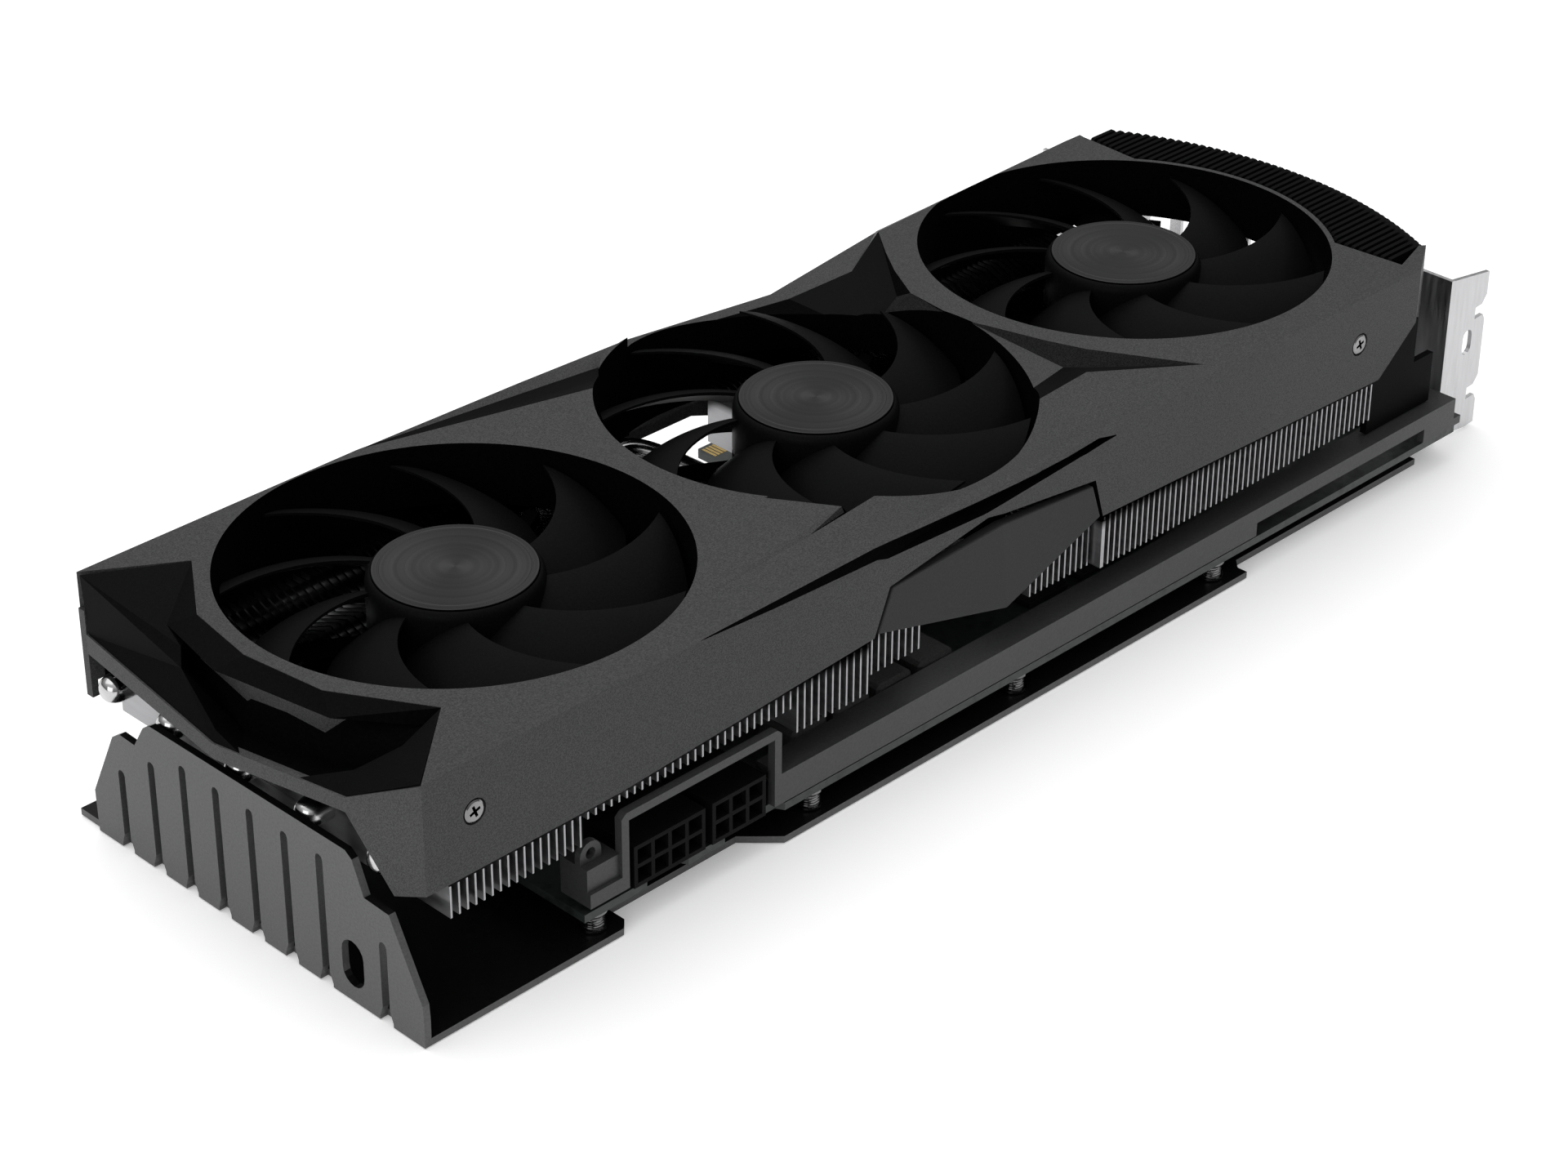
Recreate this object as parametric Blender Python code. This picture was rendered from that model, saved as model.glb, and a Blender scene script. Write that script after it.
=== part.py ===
"""A three-fan graphics card, lying on its backplate with its fans facing up.

+X runs along the card towards its slot bracket, -Y is the long side with the power sockets,
+Y is the side with the edge connector, and +Z points out of the fans. The origin is on the
backplate's outer face, under the axis of the middle fan. Sizes in this file are millimetres,
and MM turns them into Blender's metres.
"""

import math

import bmesh
import bpy
from mathutils import Vector

MM = 0.001
GAP = 0.3  # clearance between neighbouring pieces

# Overall card
FLANGE_X = -152.9  # outer face of the backplate's bent tail flange
BRACKET_X = 155.1  # outer face of the slot bracket, 308 mm from the flange
TOP_Z = 53.5
NEAR_Y = -53.0  # outer face of the shroud's long side wall
FAR_Y = 45.5
WALL = 1.8
SKIRT_Z = 30.4  # lowest edge of the shroud's walls

# Fans
FAN_PITCH = 96.3
FAN_X = (-FAN_PITCH, 0.0, FAN_PITCH)
OPENING_RADIUS = 45.1
RING_RADIUS = 46.3
RING_BOTTOM_Z = 40.0
HUB_RADIUS = 17.0
HUB_TOP_Z = 51.6
HUB_BOTTOM_Z = 40.2
CAP_RADIUS = 15.6
BLADE_COUNT = 9
BLADE_RADIUS = 43.5
BLADE_SWEEP = 28.0
SHAFT_RADIUS = 1.5
BEARING_RADIUS = 1.58

# Printed circuit board and what it carries
BACKPLATE_THICK = 1.5
PCB_BOTTOM_Z = 6.2
PCB_TOP_Z = 7.9
PCB_TAIL_X = -113.6
PCB_FACE_X = 152.6
PCB_NEAR_Y = -52.8
PCB_FAR_Y = 48.6
CONNECTOR_Y = 58.9  # tips of the edge connector's contacts
GPU_X = 46.0

# Heatsink
FIN_PITCH = 1.9
FIN_THICK = 0.6
FIN_TOP_Z = 36.0
FIN_FRONT_TOP_Z = 30.0  # where the fins pass under the shroud's long side
FIN_NEAR_Y = -53.2
FIN_BOTTOM_Z = 23.4
PIPE_RADIUS = 3.0
PIPE_Z = 31.4
BASE_PIPE_Z = 17.4
PIPE_TAIL_Y = (-39.5, -19.5, 0.5, 20.5, 38.0)
PIPE_BASE_Y = (-15.0, -7.5, 0.0, 7.5, 15.0)

FAN_SPOKES = 3
ROUND_SIDES = 48


# ---------------------------------------------------------------- tools


def clear_scene():
    for obj in list(bpy.data.objects):
        bpy.data.objects.remove(obj, do_unlink=True)


def material(name, color, roughness, metallic=0.0):
    made = bpy.data.materials.new(name)
    made.use_nodes = True
    shader = made.node_tree.nodes["Principled BSDF"]
    shader.inputs["Base Color"].default_value = (*color, 1.0)
    shader.inputs["Roughness"].default_value = roughness
    shader.inputs["Metallic"].default_value = metallic
    return made


def make_materials():
    return {
        "shroud": material("shroud_plastic", (0.062, 0.062, 0.063), 0.55),
        "black": material("black_plastic", (0.012, 0.012, 0.012), 0.4),
        "fan": material("fan_plastic", (0.02, 0.02, 0.021), 0.35),
        "disc": material("hub_disc_metal", (0.16, 0.16, 0.165), 0.35, 0.9),
        "steel": material("steel", (0.6, 0.6, 0.61), 0.35, 1.0),
        "fins": material("fin_aluminium", (0.55, 0.55, 0.56), 0.4, 1.0),
        "pipe": material("plated_pipe", (0.75, 0.75, 0.75), 0.12, 1.0),
        "base": material("base_metal", (0.6, 0.6, 0.6), 0.3, 1.0),
        "plate": material("grey_painted_metal", (0.1, 0.1, 0.102), 0.45, 0.3),
        "board": material("board", (0.012, 0.018, 0.016), 0.4),
        "chip": material("chip_plastic", (0.015, 0.015, 0.016), 0.5),
        "silicon": material("package", (0.05, 0.07, 0.06), 0.4),
    }


def new_object(name, bm, mat, smooth=None):
    """Finishes a bmesh built in millimetres as a named object."""
    bmesh.ops.recalc_face_normals(bm, faces=bm.faces[:])
    bmesh.ops.scale(bm, vec=(MM, MM, MM), verts=bm.verts[:])
    mesh = bpy.data.meshes.new(name)
    bm.to_mesh(mesh)
    bm.free()
    if smooth is not None:
        mesh.shade_smooth()
        mesh.set_sharp_from_angle(angle=math.radians(smooth))
    obj = bpy.data.objects.new(name, mesh)
    bpy.context.collection.objects.link(obj)
    if mat is not None:
        mesh.materials.append(mat)
    return obj


def add_prism(bm, outline, low, high, axis="z"):
    """Adds a closed prism to bm. The outline's two coordinates are the other two axes in order."""
    def place(point, level):
        if axis == "x":
            return (level, point[0], point[1])
        if axis == "y":
            return (point[0], level, point[1])
        return (point[0], point[1], level)

    bottom = [bm.verts.new(place(p, low)) for p in outline]
    top = [bm.verts.new(place(p, high)) for p in outline]
    bm.faces.new(bottom[::-1])
    bm.faces.new(top)
    count = len(outline)
    for i in range(count):
        j = (i + 1) % count
        bm.faces.new((bottom[i], bottom[j], top[j], top[i]))


def prism(name, outline, low, high, mat, axis="z"):
    bm = bmesh.new()
    add_prism(bm, outline, low, high, axis)
    return new_object(name, bm, mat)


def rectangle(x0, x1, y0, y1):
    return [(x0, y0), (x1, y0), (x1, y1), (x0, y1)]


def block(name, x_range, y_range, z_range, mat):
    return prism(name, rectangle(*x_range, *y_range), *z_range, mat)


def circle(radius, center=(0.0, 0.0), sides=ROUND_SIDES, phase=0.0):
    points = []
    for i in range(sides):
        angle = phase + 2 * math.pi * i / sides
        points.append((center[0] + radius * math.cos(angle), center[1] + radius * math.sin(angle)))
    return points


def arc(center, radius, start_deg, end_deg, steps):
    points = []
    for i in range(steps + 1):
        angle = math.radians(start_deg + (end_deg - start_deg) * i / steps)
        points.append((center[0] + radius * math.cos(angle), center[1] + radius * math.sin(angle)))
    return points


def facet_cutter(name, corners, facets):
    """A cutter whose underside is the given facets. Each facet names its corners in order."""
    bm = bmesh.new()
    under = {key: bm.verts.new(place) for key, place in corners.items()}
    over = {key: bm.verts.new((place[0], place[1], TOP_Z + 6)) for key, place in corners.items()}
    edges = set()
    for facet in facets:
        bm.faces.new([under[key] for key in reversed(facet)])
        bm.faces.new([over[key] for key in facet])
        edges.update(zip(facet, facet[1:] + facet[:1]))
    for a, b in sorted(edges):
        if (b, a) not in edges:
            bm.faces.new((under[a], under[b], over[b], over[a]))
    bmesh.ops.triangulate(bm, faces=bm.faces[:])
    return new_object(name, bm, None)


def turned(name, profile, center, sides, mat, smooth=40.0):
    """A closed ring or disc turned about a vertical axis. The profile is (radius, z) points."""
    bm = bmesh.new()
    rings = []
    for radius, z in profile:
        if radius == 0.0:
            rings.append([bm.verts.new((center[0], center[1], z))])
            continue
        rings.append([bm.verts.new((x, y, z)) for x, y in circle(radius, center, sides)])
    closed = profile[0][0] > 0.0
    pairs = list(zip(rings, rings[1:] + (rings[:1] if closed else [])))
    for first, second in pairs[: len(rings) if closed else len(rings) - 1]:
        for i in range(sides):
            j = (i + 1) % sides
            corners = []
            for ring, k in ((first, i), (first, j), (second, j), (second, i)):
                vert = ring[k] if len(ring) > 1 else ring[0]
                if vert not in corners:
                    corners.append(vert)
            if len(corners) > 2:
                bm.faces.new(corners)
    return new_object(name, bm, mat, smooth)


def boolean(obj, other, operation):
    """Adds an exact Boolean to obj and hides the other solid."""
    modifier = obj.modifiers.new(operation.lower(), "BOOLEAN")
    modifier.operation = operation
    modifier.object = other
    modifier.solver = "EXACT"
    other.hide_render = True
    other.display_type = "WIRE"
    return obj


def cut(obj, *cutters):
    for cutter in cutters:
        boolean(obj, cutter, "DIFFERENCE")
    return obj


def join(obj, *others):
    for other in others:
        boolean(obj, other, "UNION")
    return obj


# ---------------------------------------------------------------- shroud

TAIL_TOP = [  # tail edge of the top face, from the far corner to the near one
    (-149.0, FAR_Y),
    (-131.3, 34.2),
    (-142.2, 18.2),
    (-144.6, 0.0),
    (-142.2, -18.2),
    (-131.3, -37.2),
    (-149.9, NEAR_Y),
]
FACE_NEAR = (132.6, NEAR_Y)
FACE_NEAR_CORNER = (143.4, -46.4)
CAP_NEAR_INNER = (131.6, -48.6)
CAP_FAR_INNER = (134.3, 44.2)
FACE_FAR = (134.6, FAR_Y)

BADGE = [(-33.4, 43.4), (-37.2, 34.6), (-0.6, 25.2), (27.6, 34.4), (24.8, 42.4), (-3.0, 45.0)]
BADGE_WINDOW = [(-34.3, 43.9), (-38.2, 34.4), (-37.9, 31.0), (-0.6, 21.0), (28.3, 31.0), (28.4, 34.2),
                (25.5, 43.5), (-1.8, 46.9), (-6.7, 47.9)]


def shroud_outline():
    """Plan of the shroud's body, with the ribbed end left to its own piece."""
    return [
        *TAIL_TOP,
        FACE_NEAR,
        FACE_NEAR_CORNER,
        (142.2, -45.4),
        CAP_NEAR_INNER,
        *arc((FAN_PITCH, 0.0), RING_RADIUS, -43.0, 37.0, 14),
        CAP_FAR_INNER,
        FACE_FAR,
    ]


def shroud_hollow():
    """The space inside the shroud, around the three fan rings."""
    outline = [
        (-146.6, FAR_Y - WALL),
        (-129.5, 35.0),
        (-138.0, 24.0),
        (-138.0, -24.0),
        (-129.5, -38.0),
        (-145.0, NEAR_Y + WALL),
        (129.5, NEAR_Y + WALL),
        (128.4, -33.0),
        (128.4, -31.0),
        (150.0, -27.0),
        (150.0, 22.0),
        (129.0, 27.6),
        (132.0, FAR_Y - WALL),
    ]
    hollow = prism("shroud_hollow", outline, SKIRT_Z - 6, TOP_Z - 7.5, None)
    for index, x in enumerate(FAN_X):
        ring = prism(f"ring_{index + 1}", circle(RING_RADIUS, (x, 0.0)), RING_BOTTOM_Z, TOP_Z + 4, None)
        cut(hollow, ring)
    return hollow


def skirt_cutters():
    """What is taken off below the long walls: the skirt rises towards the badge."""
    low = SKIRT_Z - 12
    near = [
        (-104.0, low), (-104.0, SKIRT_Z), (-38.2, 34.2), (-0.6, 24.6), (28.3, 34.2), (120.6, 31.2),
        (137.0, 44.4), (146.0, 44.4), (146.0, low),
    ]
    far = [(36.0, low), (36.0, SKIRT_Z - 1.0), (46.0, 34.0), (120.0, 31.0), (146.0, 33.0), (146.0, low)]
    return [
        prism("near_skirt_cutter", near, NEAR_Y - 3, NEAR_Y + 6.0, None, axis="y"),
        prism("far_skirt_cutter", far, FAR_Y - 5.0, FAR_Y + 3, None, axis="y"),
    ]


def far_apron():
    """The far wall's lower edge between the two fin stacks, which hangs lower than the rest."""
    outline = [
        (-104.0, 31.0), (-104.0, 30.3), (-50.0, 28.5), (7.0, 28.2), (22.0, 23.0), (36.0, 29.4), (36.0, 31.0),
    ]
    return prism("far_apron", outline, FAR_Y - WALL, FAR_Y, None, axis="y")


HIGH = TOP_Z + 0.02
RING_STRIP = {  # edge of the flat strip round the bracket-end fan, from the far side to the near one
    "strip_0": (63.2, 42.4, HIGH),
    "strip_1": (56.6, 33.9, HIGH),
    "strip_2": (51.4, 26.4, HIGH),
    "strip_3": (45.9, 16.6, HIGH),
    "strip_5": (46.3, -6.2, HIGH),
    "strip_6": (49.6, -18.3, HIGH),
    "strip_7": (52.6, -26.6, HIGH),
    "tip": (64.7, -48.5, HIGH),
}


def back_facets():
    """Behind the middle fan the far edge sinks: a slope with a thin rim, then a faceted notch."""
    back = FAR_Y + 0.2
    corners = {
        "start": (-83.0, back, HIGH),
        "inner": (-31.4, 32.0, HIGH),
        "turn": (-19.7, 42.2, 50.5),
        "rim_low": (-10.0, 43.9, 51.4),
        "rim_a": (-41.0, back, 52.8),
        "rim_b": (-10.0, back, 51.9),
        "low": (34.9, 42.0, 47.0),
        "middle": (50.9, 38.6, 49.3),
        "root": (45.5, 20.2, 51.5),
        "ring_1": (40.6, 19.8, 48.9),
        "ring_2": (38.0, 24.3, 48.1),
        "ring_3": (34.1, 29.5, 48.0),
        "back_0": (32.8, back, 47.6),
        "back_1": (66.0, back, 51.5),
        "back_2": (134.0, back, HIGH),
        "pass": (44.3, 3.0, 53.0),
        **{key: RING_STRIP[key] for key in ("strip_0", "strip_1", "strip_2", "strip_3")},
    }
    facets = [
        ("start", "inner", "turn"),
        ("start", "turn", "rim_low", "rim_b", "rim_a"),
        ("rim_low", "low", "back_0", "rim_b"),
        ("rim_low", "ring_3", "low"),
        ("back_0", "low", "middle", "strip_0", "back_1"),
        ("strip_0", "back_2", "back_1"),
        ("low", "ring_3", "ring_2", "ring_1", "root", "middle"),
        ("middle", "root", "strip_0"),
        ("root", "strip_3", "strip_2", "strip_1", "strip_0"),
        ("ring_1", "pass", "strip_3", "root"),
    ]
    return facet_cutter("back_facets", corners, facets)


def near_valley():
    """The valley between the last two fans on the near side: a floor, a step and a scoop."""
    corners = {
        **{key: RING_STRIP[key] for key in ("strip_5", "strip_6", "strip_7", "tip")},
        "head": (45.0, -1.7, 53.2),
        "edge": (36.1, -26.6, 50.4),
        "floor": (47.4, -25.0, 50.5),
        "step_1": (28.7, -34.5, HIGH),
        "step_2": (44.5, -33.5, HIGH),
        "step_3": (46.8, -31.8, 53.2),
    }
    facets = [
        ("head", "edge", "floor"),
        ("edge", "step_1", "step_2", "step_3", "floor"),
        ("step_2", "tip", "step_3"),
        ("floor", "step_3", "tip"),
        ("floor", "tip", "strip_7"),
        ("floor", "strip_7", "strip_6"),
        ("floor", "strip_6", "strip_5"),
        ("head", "floor", "strip_5"),
    ]
    return facet_cutter("near_valley", corners, facets)


def near_band():
    """The band along the near edge, which dips beside the middle fan."""
    corners = {
        "ring_1": (-23.0, -38.4, HIGH),
        "ring_2": (-5.7, -44.4, 50.5),
        "ring_3": (12.0, -42.8, 50.6),
        "ring_4": (28.7, -34.5, HIGH),
        "low_1": (-39.1, -52.4, HIGH),
        "low_2": (-10.9, -50.1, 50.5),
        "low_3": (10.0, -51.2, 50.5),
        "low_4": (25.7, -49.8, 50.5),
        "low_5": (60.0, -52.9, HIGH),
    }
    facets = [
        ("ring_1", "low_1", "low_2", "ring_2"),
        ("ring_2", "low_2", "low_3", "ring_3"),
        ("ring_3", "low_3", "low_4"),
        ("ring_3", "low_4", "ring_4"),
        ("ring_4", "low_4", "low_5"),
    ]
    return facet_cutter("near_band", corners, facets)


def edge_groove():
    """The long groove between the band and the near wall, tapered at both ends."""
    stations = [  # upper edge, then lower edge
        ((-84.0, -52.8, 53.6), (-86.0, -53.3, 53.4)),
        ((-39.1, -52.2, 53.6), (-37.6, -53.3, 50.4)),
        ((-10.9, -49.9, 50.7), (-7.6, -53.3, 48.9)),
        ((10.0, -51.0, 50.7), (11.3, -53.3, 50.1)),
        ((25.7, -49.5, 50.8), (21.9, -53.3, 50.8)),
        ((31.0, -52.8, 51.6), (31.5, -53.3, 51.3)),
    ]
    bm = bmesh.new()
    rings = []
    for (x0, y0, z0), (x1, y1, z1) in stations:
        section = ((x0, y0, z0), (x1, y1, z1), (x1, -58.0, z1 + 1.0), (x0, -56.0, z0 + 4.0))
        rings.append([bm.verts.new(place) for place in section])
    for first, second in zip(rings, rings[1:]):
        for i in range(4):
            j = (i + 1) % 4
            bm.faces.new((first[i], first[j], second[j], second[i]))
    bm.faces.new(rings[0][::-1])
    bm.faces.new(rings[-1])
    bmesh.ops.triangulate(bm, faces=bm.faces[:])
    return new_object("edge_groove", bm, None)


def tail_lip():
    """The band that closes the shroud's tail below the black insert, down to its near corner."""
    corners = [
        (-149.6, FAR_Y - 1.9, 36.9), (-154.4, -0.3, 36.2), (-152.7, -35.4, 40.9), (-151.0, -45.5, 27.4),
        (-149.9, NEAR_Y, SKIRT_Z), (-149.9, NEAR_Y, TOP_Z - 0.3), (-152.7, -35.6, 44.0), (-154.4, -0.3, 39.5),
        (-149.6, FAR_Y - 1.9, 41.1),
    ]
    faces = [(0, 1, 7, 8), (1, 2, 6, 7), (2, 3, 4), (2, 4, 5, 6)]
    bm = bmesh.new()
    outer = [bm.verts.new(c) for c in corners]
    inner = [bm.verts.new((x + WALL, max(y, NEAR_Y + 0.6), z)) for x, y, z in corners]
    for face in faces:
        bm.faces.new([outer[i] for i in face])
        bm.faces.new([inner[i] for i in reversed(face)])
    for i in range(len(corners)):
        j = (i + 1) % len(corners)
        bm.faces.new((outer[i], inner[i], inner[j], outer[j]))
    bmesh.ops.triangulate(bm, faces=bm.faces[:])
    return new_object("tail_lip", bm, None)


def corner_posts():
    """The shroud's two tail corners, down to the lip's ends."""
    near = prism("near_post", [(-149.9, NEAR_Y), (-142.0, NEAR_Y), (-142.0, -51.0), (-148.1, -51.0)],
                 SKIRT_Z, TOP_Z - 3.0, None)
    leg = [
        (-149.0, 27.0), (-147.5, 27.0), (-147.5, SKIRT_Z), (-138.0, SKIRT_Z), (-138.0, 46.0), (-149.0, 46.0),
    ]
    far = prism("far_post", leg, FAR_Y - WALL, FAR_Y, None, axis="y")
    return [near, far]


def make_shroud(mats):
    shroud = prism("shroud", shroud_outline(), SKIRT_Z, TOP_Z, mats["shroud"])
    cut(shroud, shroud_hollow())
    cut(shroud, block("tail_clearance", (-156.0, -128.0), (NEAR_Y + WALL, FAR_Y - WALL), (20.0, 37.2), None))
    for index, x in enumerate(FAN_X):
        opening = prism(f"opening_{index + 1}", circle(OPENING_RADIUS, (x, 0.0)), 20.0, TOP_Z + 8, None)
        cut(shroud, opening)
    cut(shroud, back_facets(), near_valley(), near_band())
    cut(shroud, *skirt_cutters(), edge_groove())
    cut(shroud, prism("badge_window", BADGE_WINDOW, NEAR_Y - 3, NEAR_Y + 3.4, None, axis="y"))
    join(shroud, *corner_posts(), tail_lip(), far_apron())
    for x in SIDE_SCREW_X:
        center = (x, SIDE_SCREW_Z)
        hole = prism(f"side_hole_{x:.0f}", circle(1.7, center, 16), NEAR_Y - 3, NEAR_Y + 5, None, axis="y")
        seat = prism(f"side_seat_{x:.0f}", circle(2.5, center, 16), NEAR_Y - 3, NEAR_Y + 0.9, None, axis="y")
        cut(shroud, hole, seat)
    return shroud


SIDE_SCREW_X = (-138.4, 112.3)
SIDE_SCREW_Z = 42.7


def make_side_screws(mats):
    for name, x in zip(("side_screw_tail", "side_screw_bracket"), SIDE_SCREW_X):
        center = (x, SIDE_SCREW_Z)
        head = prism(name, circle(2.2, center, 16), NEAR_Y - 0.1, NEAR_Y + 0.6, mats["steel"], axis="y")
        shank = prism(name + "_shank", circle(1.3, center, 12), NEAR_Y + 0.3, NEAR_Y + 4, None, axis="y")
        recess = prism(name + "_recess", rectangle(x - 1.2, x + 1.2, SIDE_SCREW_Z - 0.3, SIDE_SCREW_Z + 0.3),
                       NEAR_Y - 2, NEAR_Y + 0.3, None, "y")
        join(head, shank)
        cut(head, recess)


def make_tail_insert(mats):
    """The black faceted insert of the tail: a slanted band round the ring above a deep scoop."""
    points = {
        "far_top": (-149.6, 43.2, 52.6),
        "far_tip": (-133.0, 34.6, 53.0),
        "band_2": (-143.6, 18.6, 53.0),
        "band_3": (-146.0, 0.0, 53.0),
        "band_4": (-143.6, -18.6, 53.0),
        "near_tip": (-133.2, -37.0, 53.0),
        "low_1": (-144.0, 26.6, 48.2),
        "low_2": (-147.2, 17.0, 47.4),
        "low_3": (-149.0, 0.0, 46.8),
        "low_4": (-147.4, -17.0, 47.4),
        "floor_1": (-148.2, 20.0, 43.0),
        "floor_2": (-150.0, 1.0, 41.2),
        "floor_3": (-149.6, -24.0, 42.0),
        "lip_far": (-146.9, 42.9, 41.4),
        "lip_mid": (-151.1, 1.5, 40.2),
        "lip_near": (-150.2, -36.0, 46.0),
        "near_corner": (-147.8, -49.4, 51.8),
        "scoop": (-143.2, -38.0, 47.2),
    }
    faces = [
        ("far_top", "far_tip", "low_1"),
        ("far_top", "low_1", "lip_far"),
        ("low_1", "floor_1", "lip_far"),
        ("floor_1", "lip_mid", "lip_far"),
        ("far_tip", "band_2", "low_2", "low_1"),
        ("band_2", "band_3", "low_3", "low_2"),
        ("band_3", "band_4", "low_4", "low_3"),
        ("band_4", "near_tip", "scoop", "low_4"),
        ("low_1", "low_2", "floor_1"),
        ("low_2", "low_3", "floor_2", "floor_1"),
        ("low_3", "low_4", "floor_3", "floor_2"),
        ("low_4", "scoop", "floor_3"),
        ("floor_1", "floor_2", "lip_mid"),
        ("floor_2", "floor_3", "lip_near", "lip_mid"),
        ("floor_3", "scoop", "lip_near"),
        ("scoop", "near_tip", "near_corner"),
        ("scoop", "near_corner", "lip_near"),
    ]
    bm = bmesh.new()
    verts = {key: bm.verts.new(place) for key, place in points.items()}
    for face in faces:
        bm.faces.new([verts[key] for key in face])
    bmesh.ops.triangulate(bm, faces=bm.faces[:])
    upper = bm.faces[:]
    bmesh.ops.recalc_face_normals(bm, faces=upper)
    lower_vert = {v: bm.verts.new(v.co + Vector((0.5, 0.0, -1.2))) for v in list(bm.verts)}
    edges = [e for e in bm.edges if e.is_boundary]
    for face in upper:
        bm.faces.new([lower_vert[v] for v in reversed(face.verts)])
    for edge in edges:
        a, b = edge.verts
        bm.faces.new((a, b, lower_vert[b], lower_vert[a]))
    return new_object("tail_insert", bm, mats["black"])


CAP_ARC_CENTER = (63.7, -1.8)
CAP_ARC_RADIUS = 91.1


def make_end_cap(mats):
    """The ribbed black cap at the bracket end, bowed outwards and following the fan's ring."""
    angle = math.degrees(math.asin(44.3 / CAP_ARC_RADIUS))
    outline = [
        (CAP_NEAR_INNER[0] + 0.4, CAP_NEAR_INNER[1] + 2.2),
        *arc(CAP_ARC_CENTER, CAP_ARC_RADIUS, -angle + 1.2, angle, 14),
        (CAP_FAR_INNER[0] + 0.9, CAP_FAR_INNER[1] - 0.6),
        *arc((FAN_PITCH, 0.0), RING_RADIUS + GAP, 36.4, -42.4, 12),
    ]
    cap = prism("end_cap", outline, 36.0, TOP_Z - 0.1, mats["black"])
    inner = [
        (140.0, -40.0),
        *arc(CAP_ARC_CENTER, CAP_ARC_RADIUS - WALL, -24.0, 25.0, 10),
        (140.0, 38.0),
        (134.0, 34.0),
        *arc((FAN_PITCH, 0.0), RING_RADIUS + 2.0, 34.0, -38.0, 8),
        (134.0, -36.0),
    ]
    cut(cap, prism("end_cap_hollow", inner, 30.0, TOP_Z - 2.6, None))
    cut(cap, block("bracket_clearance", (BRACKET_X - 1.3, 170.0), (-60.0, 60.0), (30.0, 41.6), None))
    return cap


def make_side_badge(mats):
    return prism("side_badge", BADGE, NEAR_Y - 0.2, NEAR_Y + 1.6, mats["black"], axis="y")


# ---------------------------------------------------------------- fans


def blade_point(radius_share, chord_share, side):
    """A point of the blade's skin, before its turn about the hub. side is +1 above, -1 below."""
    radius = HUB_RADIUS - 1.3 + radius_share * (BLADE_RADIUS - HUB_RADIUS + 1.3)
    lead = BLADE_SWEEP * radius_share ** 1.25
    chord = 38.0 - 14.0 * radius_share
    angle = math.radians(lead - chord * chord_share)
    lead_z = 47.6 + 1.6 * radius_share
    trail_z = 41.4 + 1.4 * radius_share
    camber = 1.1 * math.sin(math.pi * chord_share)
    middle = lead_z + (trail_z - lead_z) * chord_share + camber
    thick = (1.5 - 0.6 * radius_share) * (0.35 + 0.65 * math.sin(math.pi * (0.15 + 0.7 * chord_share)))
    return radius, angle, middle + side * thick / 2


def add_blade(bm, turn):
    radial_steps = 4
    chord_steps = 3
    skins = []
    for side in (1, -1):
        grid = []
        for i in range(radial_steps + 1):
            row = []
            for j in range(chord_steps + 1):
                radius, angle, z = blade_point(i / radial_steps, j / chord_steps, side)
                angle += turn
                row.append(bm.verts.new((radius * math.cos(angle), radius * math.sin(angle), z)))
            grid.append(row)
        skins.append(grid)
    upper, lower = skins
    for i in range(radial_steps):
        for j in range(chord_steps):
            bm.faces.new((upper[i][j], upper[i + 1][j], upper[i + 1][j + 1], upper[i][j + 1]))
            bm.faces.new((lower[i][j], lower[i][j + 1], lower[i + 1][j + 1], lower[i + 1][j]))
    rim = [(i, 0) for i in range(radial_steps + 1)]
    rim += [(radial_steps, j) for j in range(1, chord_steps + 1)]
    rim += [(i, chord_steps) for i in range(radial_steps - 1, -1, -1)]
    rim += [(0, j) for j in range(chord_steps - 1, 0, -1)]
    for k, (i, j) in enumerate(rim):
        m, n = rim[(k + 1) % len(rim)]
        bm.faces.new((upper[i][j], lower[i][j], lower[m][n], upper[m][n]))


def make_fan(index, x, mats):
    name = f"fan_{index}"
    pivot = bpy.data.objects.new(f"{name}_axis", None)
    pivot.location = (x * MM, 0.0, 0.0)
    bpy.context.collection.objects.link(pivot)

    hub_profile = [
        (14.6, HUB_BOTTOM_Z), (HUB_RADIUS, HUB_BOTTOM_Z), (HUB_RADIUS, 49.8), (16.8, 51.0),
        (16.2, HUB_TOP_Z), (CAP_RADIUS + GAP, HUB_TOP_Z), (CAP_RADIUS + GAP, 50.9),
        (SHAFT_RADIUS + 0.05, 50.9), (SHAFT_RADIUS + 0.05, 46.4), (3.0, 46.4), (3.6, 49.0), (14.6, 49.0),
    ]
    rotor = turned(f"{name}_rotor", hub_profile, (0.0, 0.0), 40, mats["fan"])
    bm = bmesh.new()
    for number in range(BLADE_COUNT):
        add_blade(bm, 2 * math.pi * number / BLADE_COUNT + math.radians(26.0 - BLADE_SWEEP))
    bmesh.ops.triangulate(bm, faces=bm.faces[:])
    blades = new_object(f"{name}_blades", bm, None)
    blades.parent = pivot
    join(rotor, blades)

    cap_profile = [(0.0, 51.15), (CAP_RADIUS, 51.15), (CAP_RADIUS, 51.9), (15.2, 52.0), (0.0, 52.0)]
    cap = turned(f"{name}_disc", cap_profile, (0.0, 0.0), 36, mats["disc"])
    shaft_profile = [(0.0, 39.6), (SHAFT_RADIUS, 39.6), (SHAFT_RADIUS, 50.6), (0.0, 50.6)]
    shaft = turned(f"{name}_shaft", shaft_profile, (0.0, 0.0), 12, mats["steel"])
    for piece in (rotor, cap, shaft):
        piece.parent = pivot
    make_fan_mount(name, x, mats)


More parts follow.
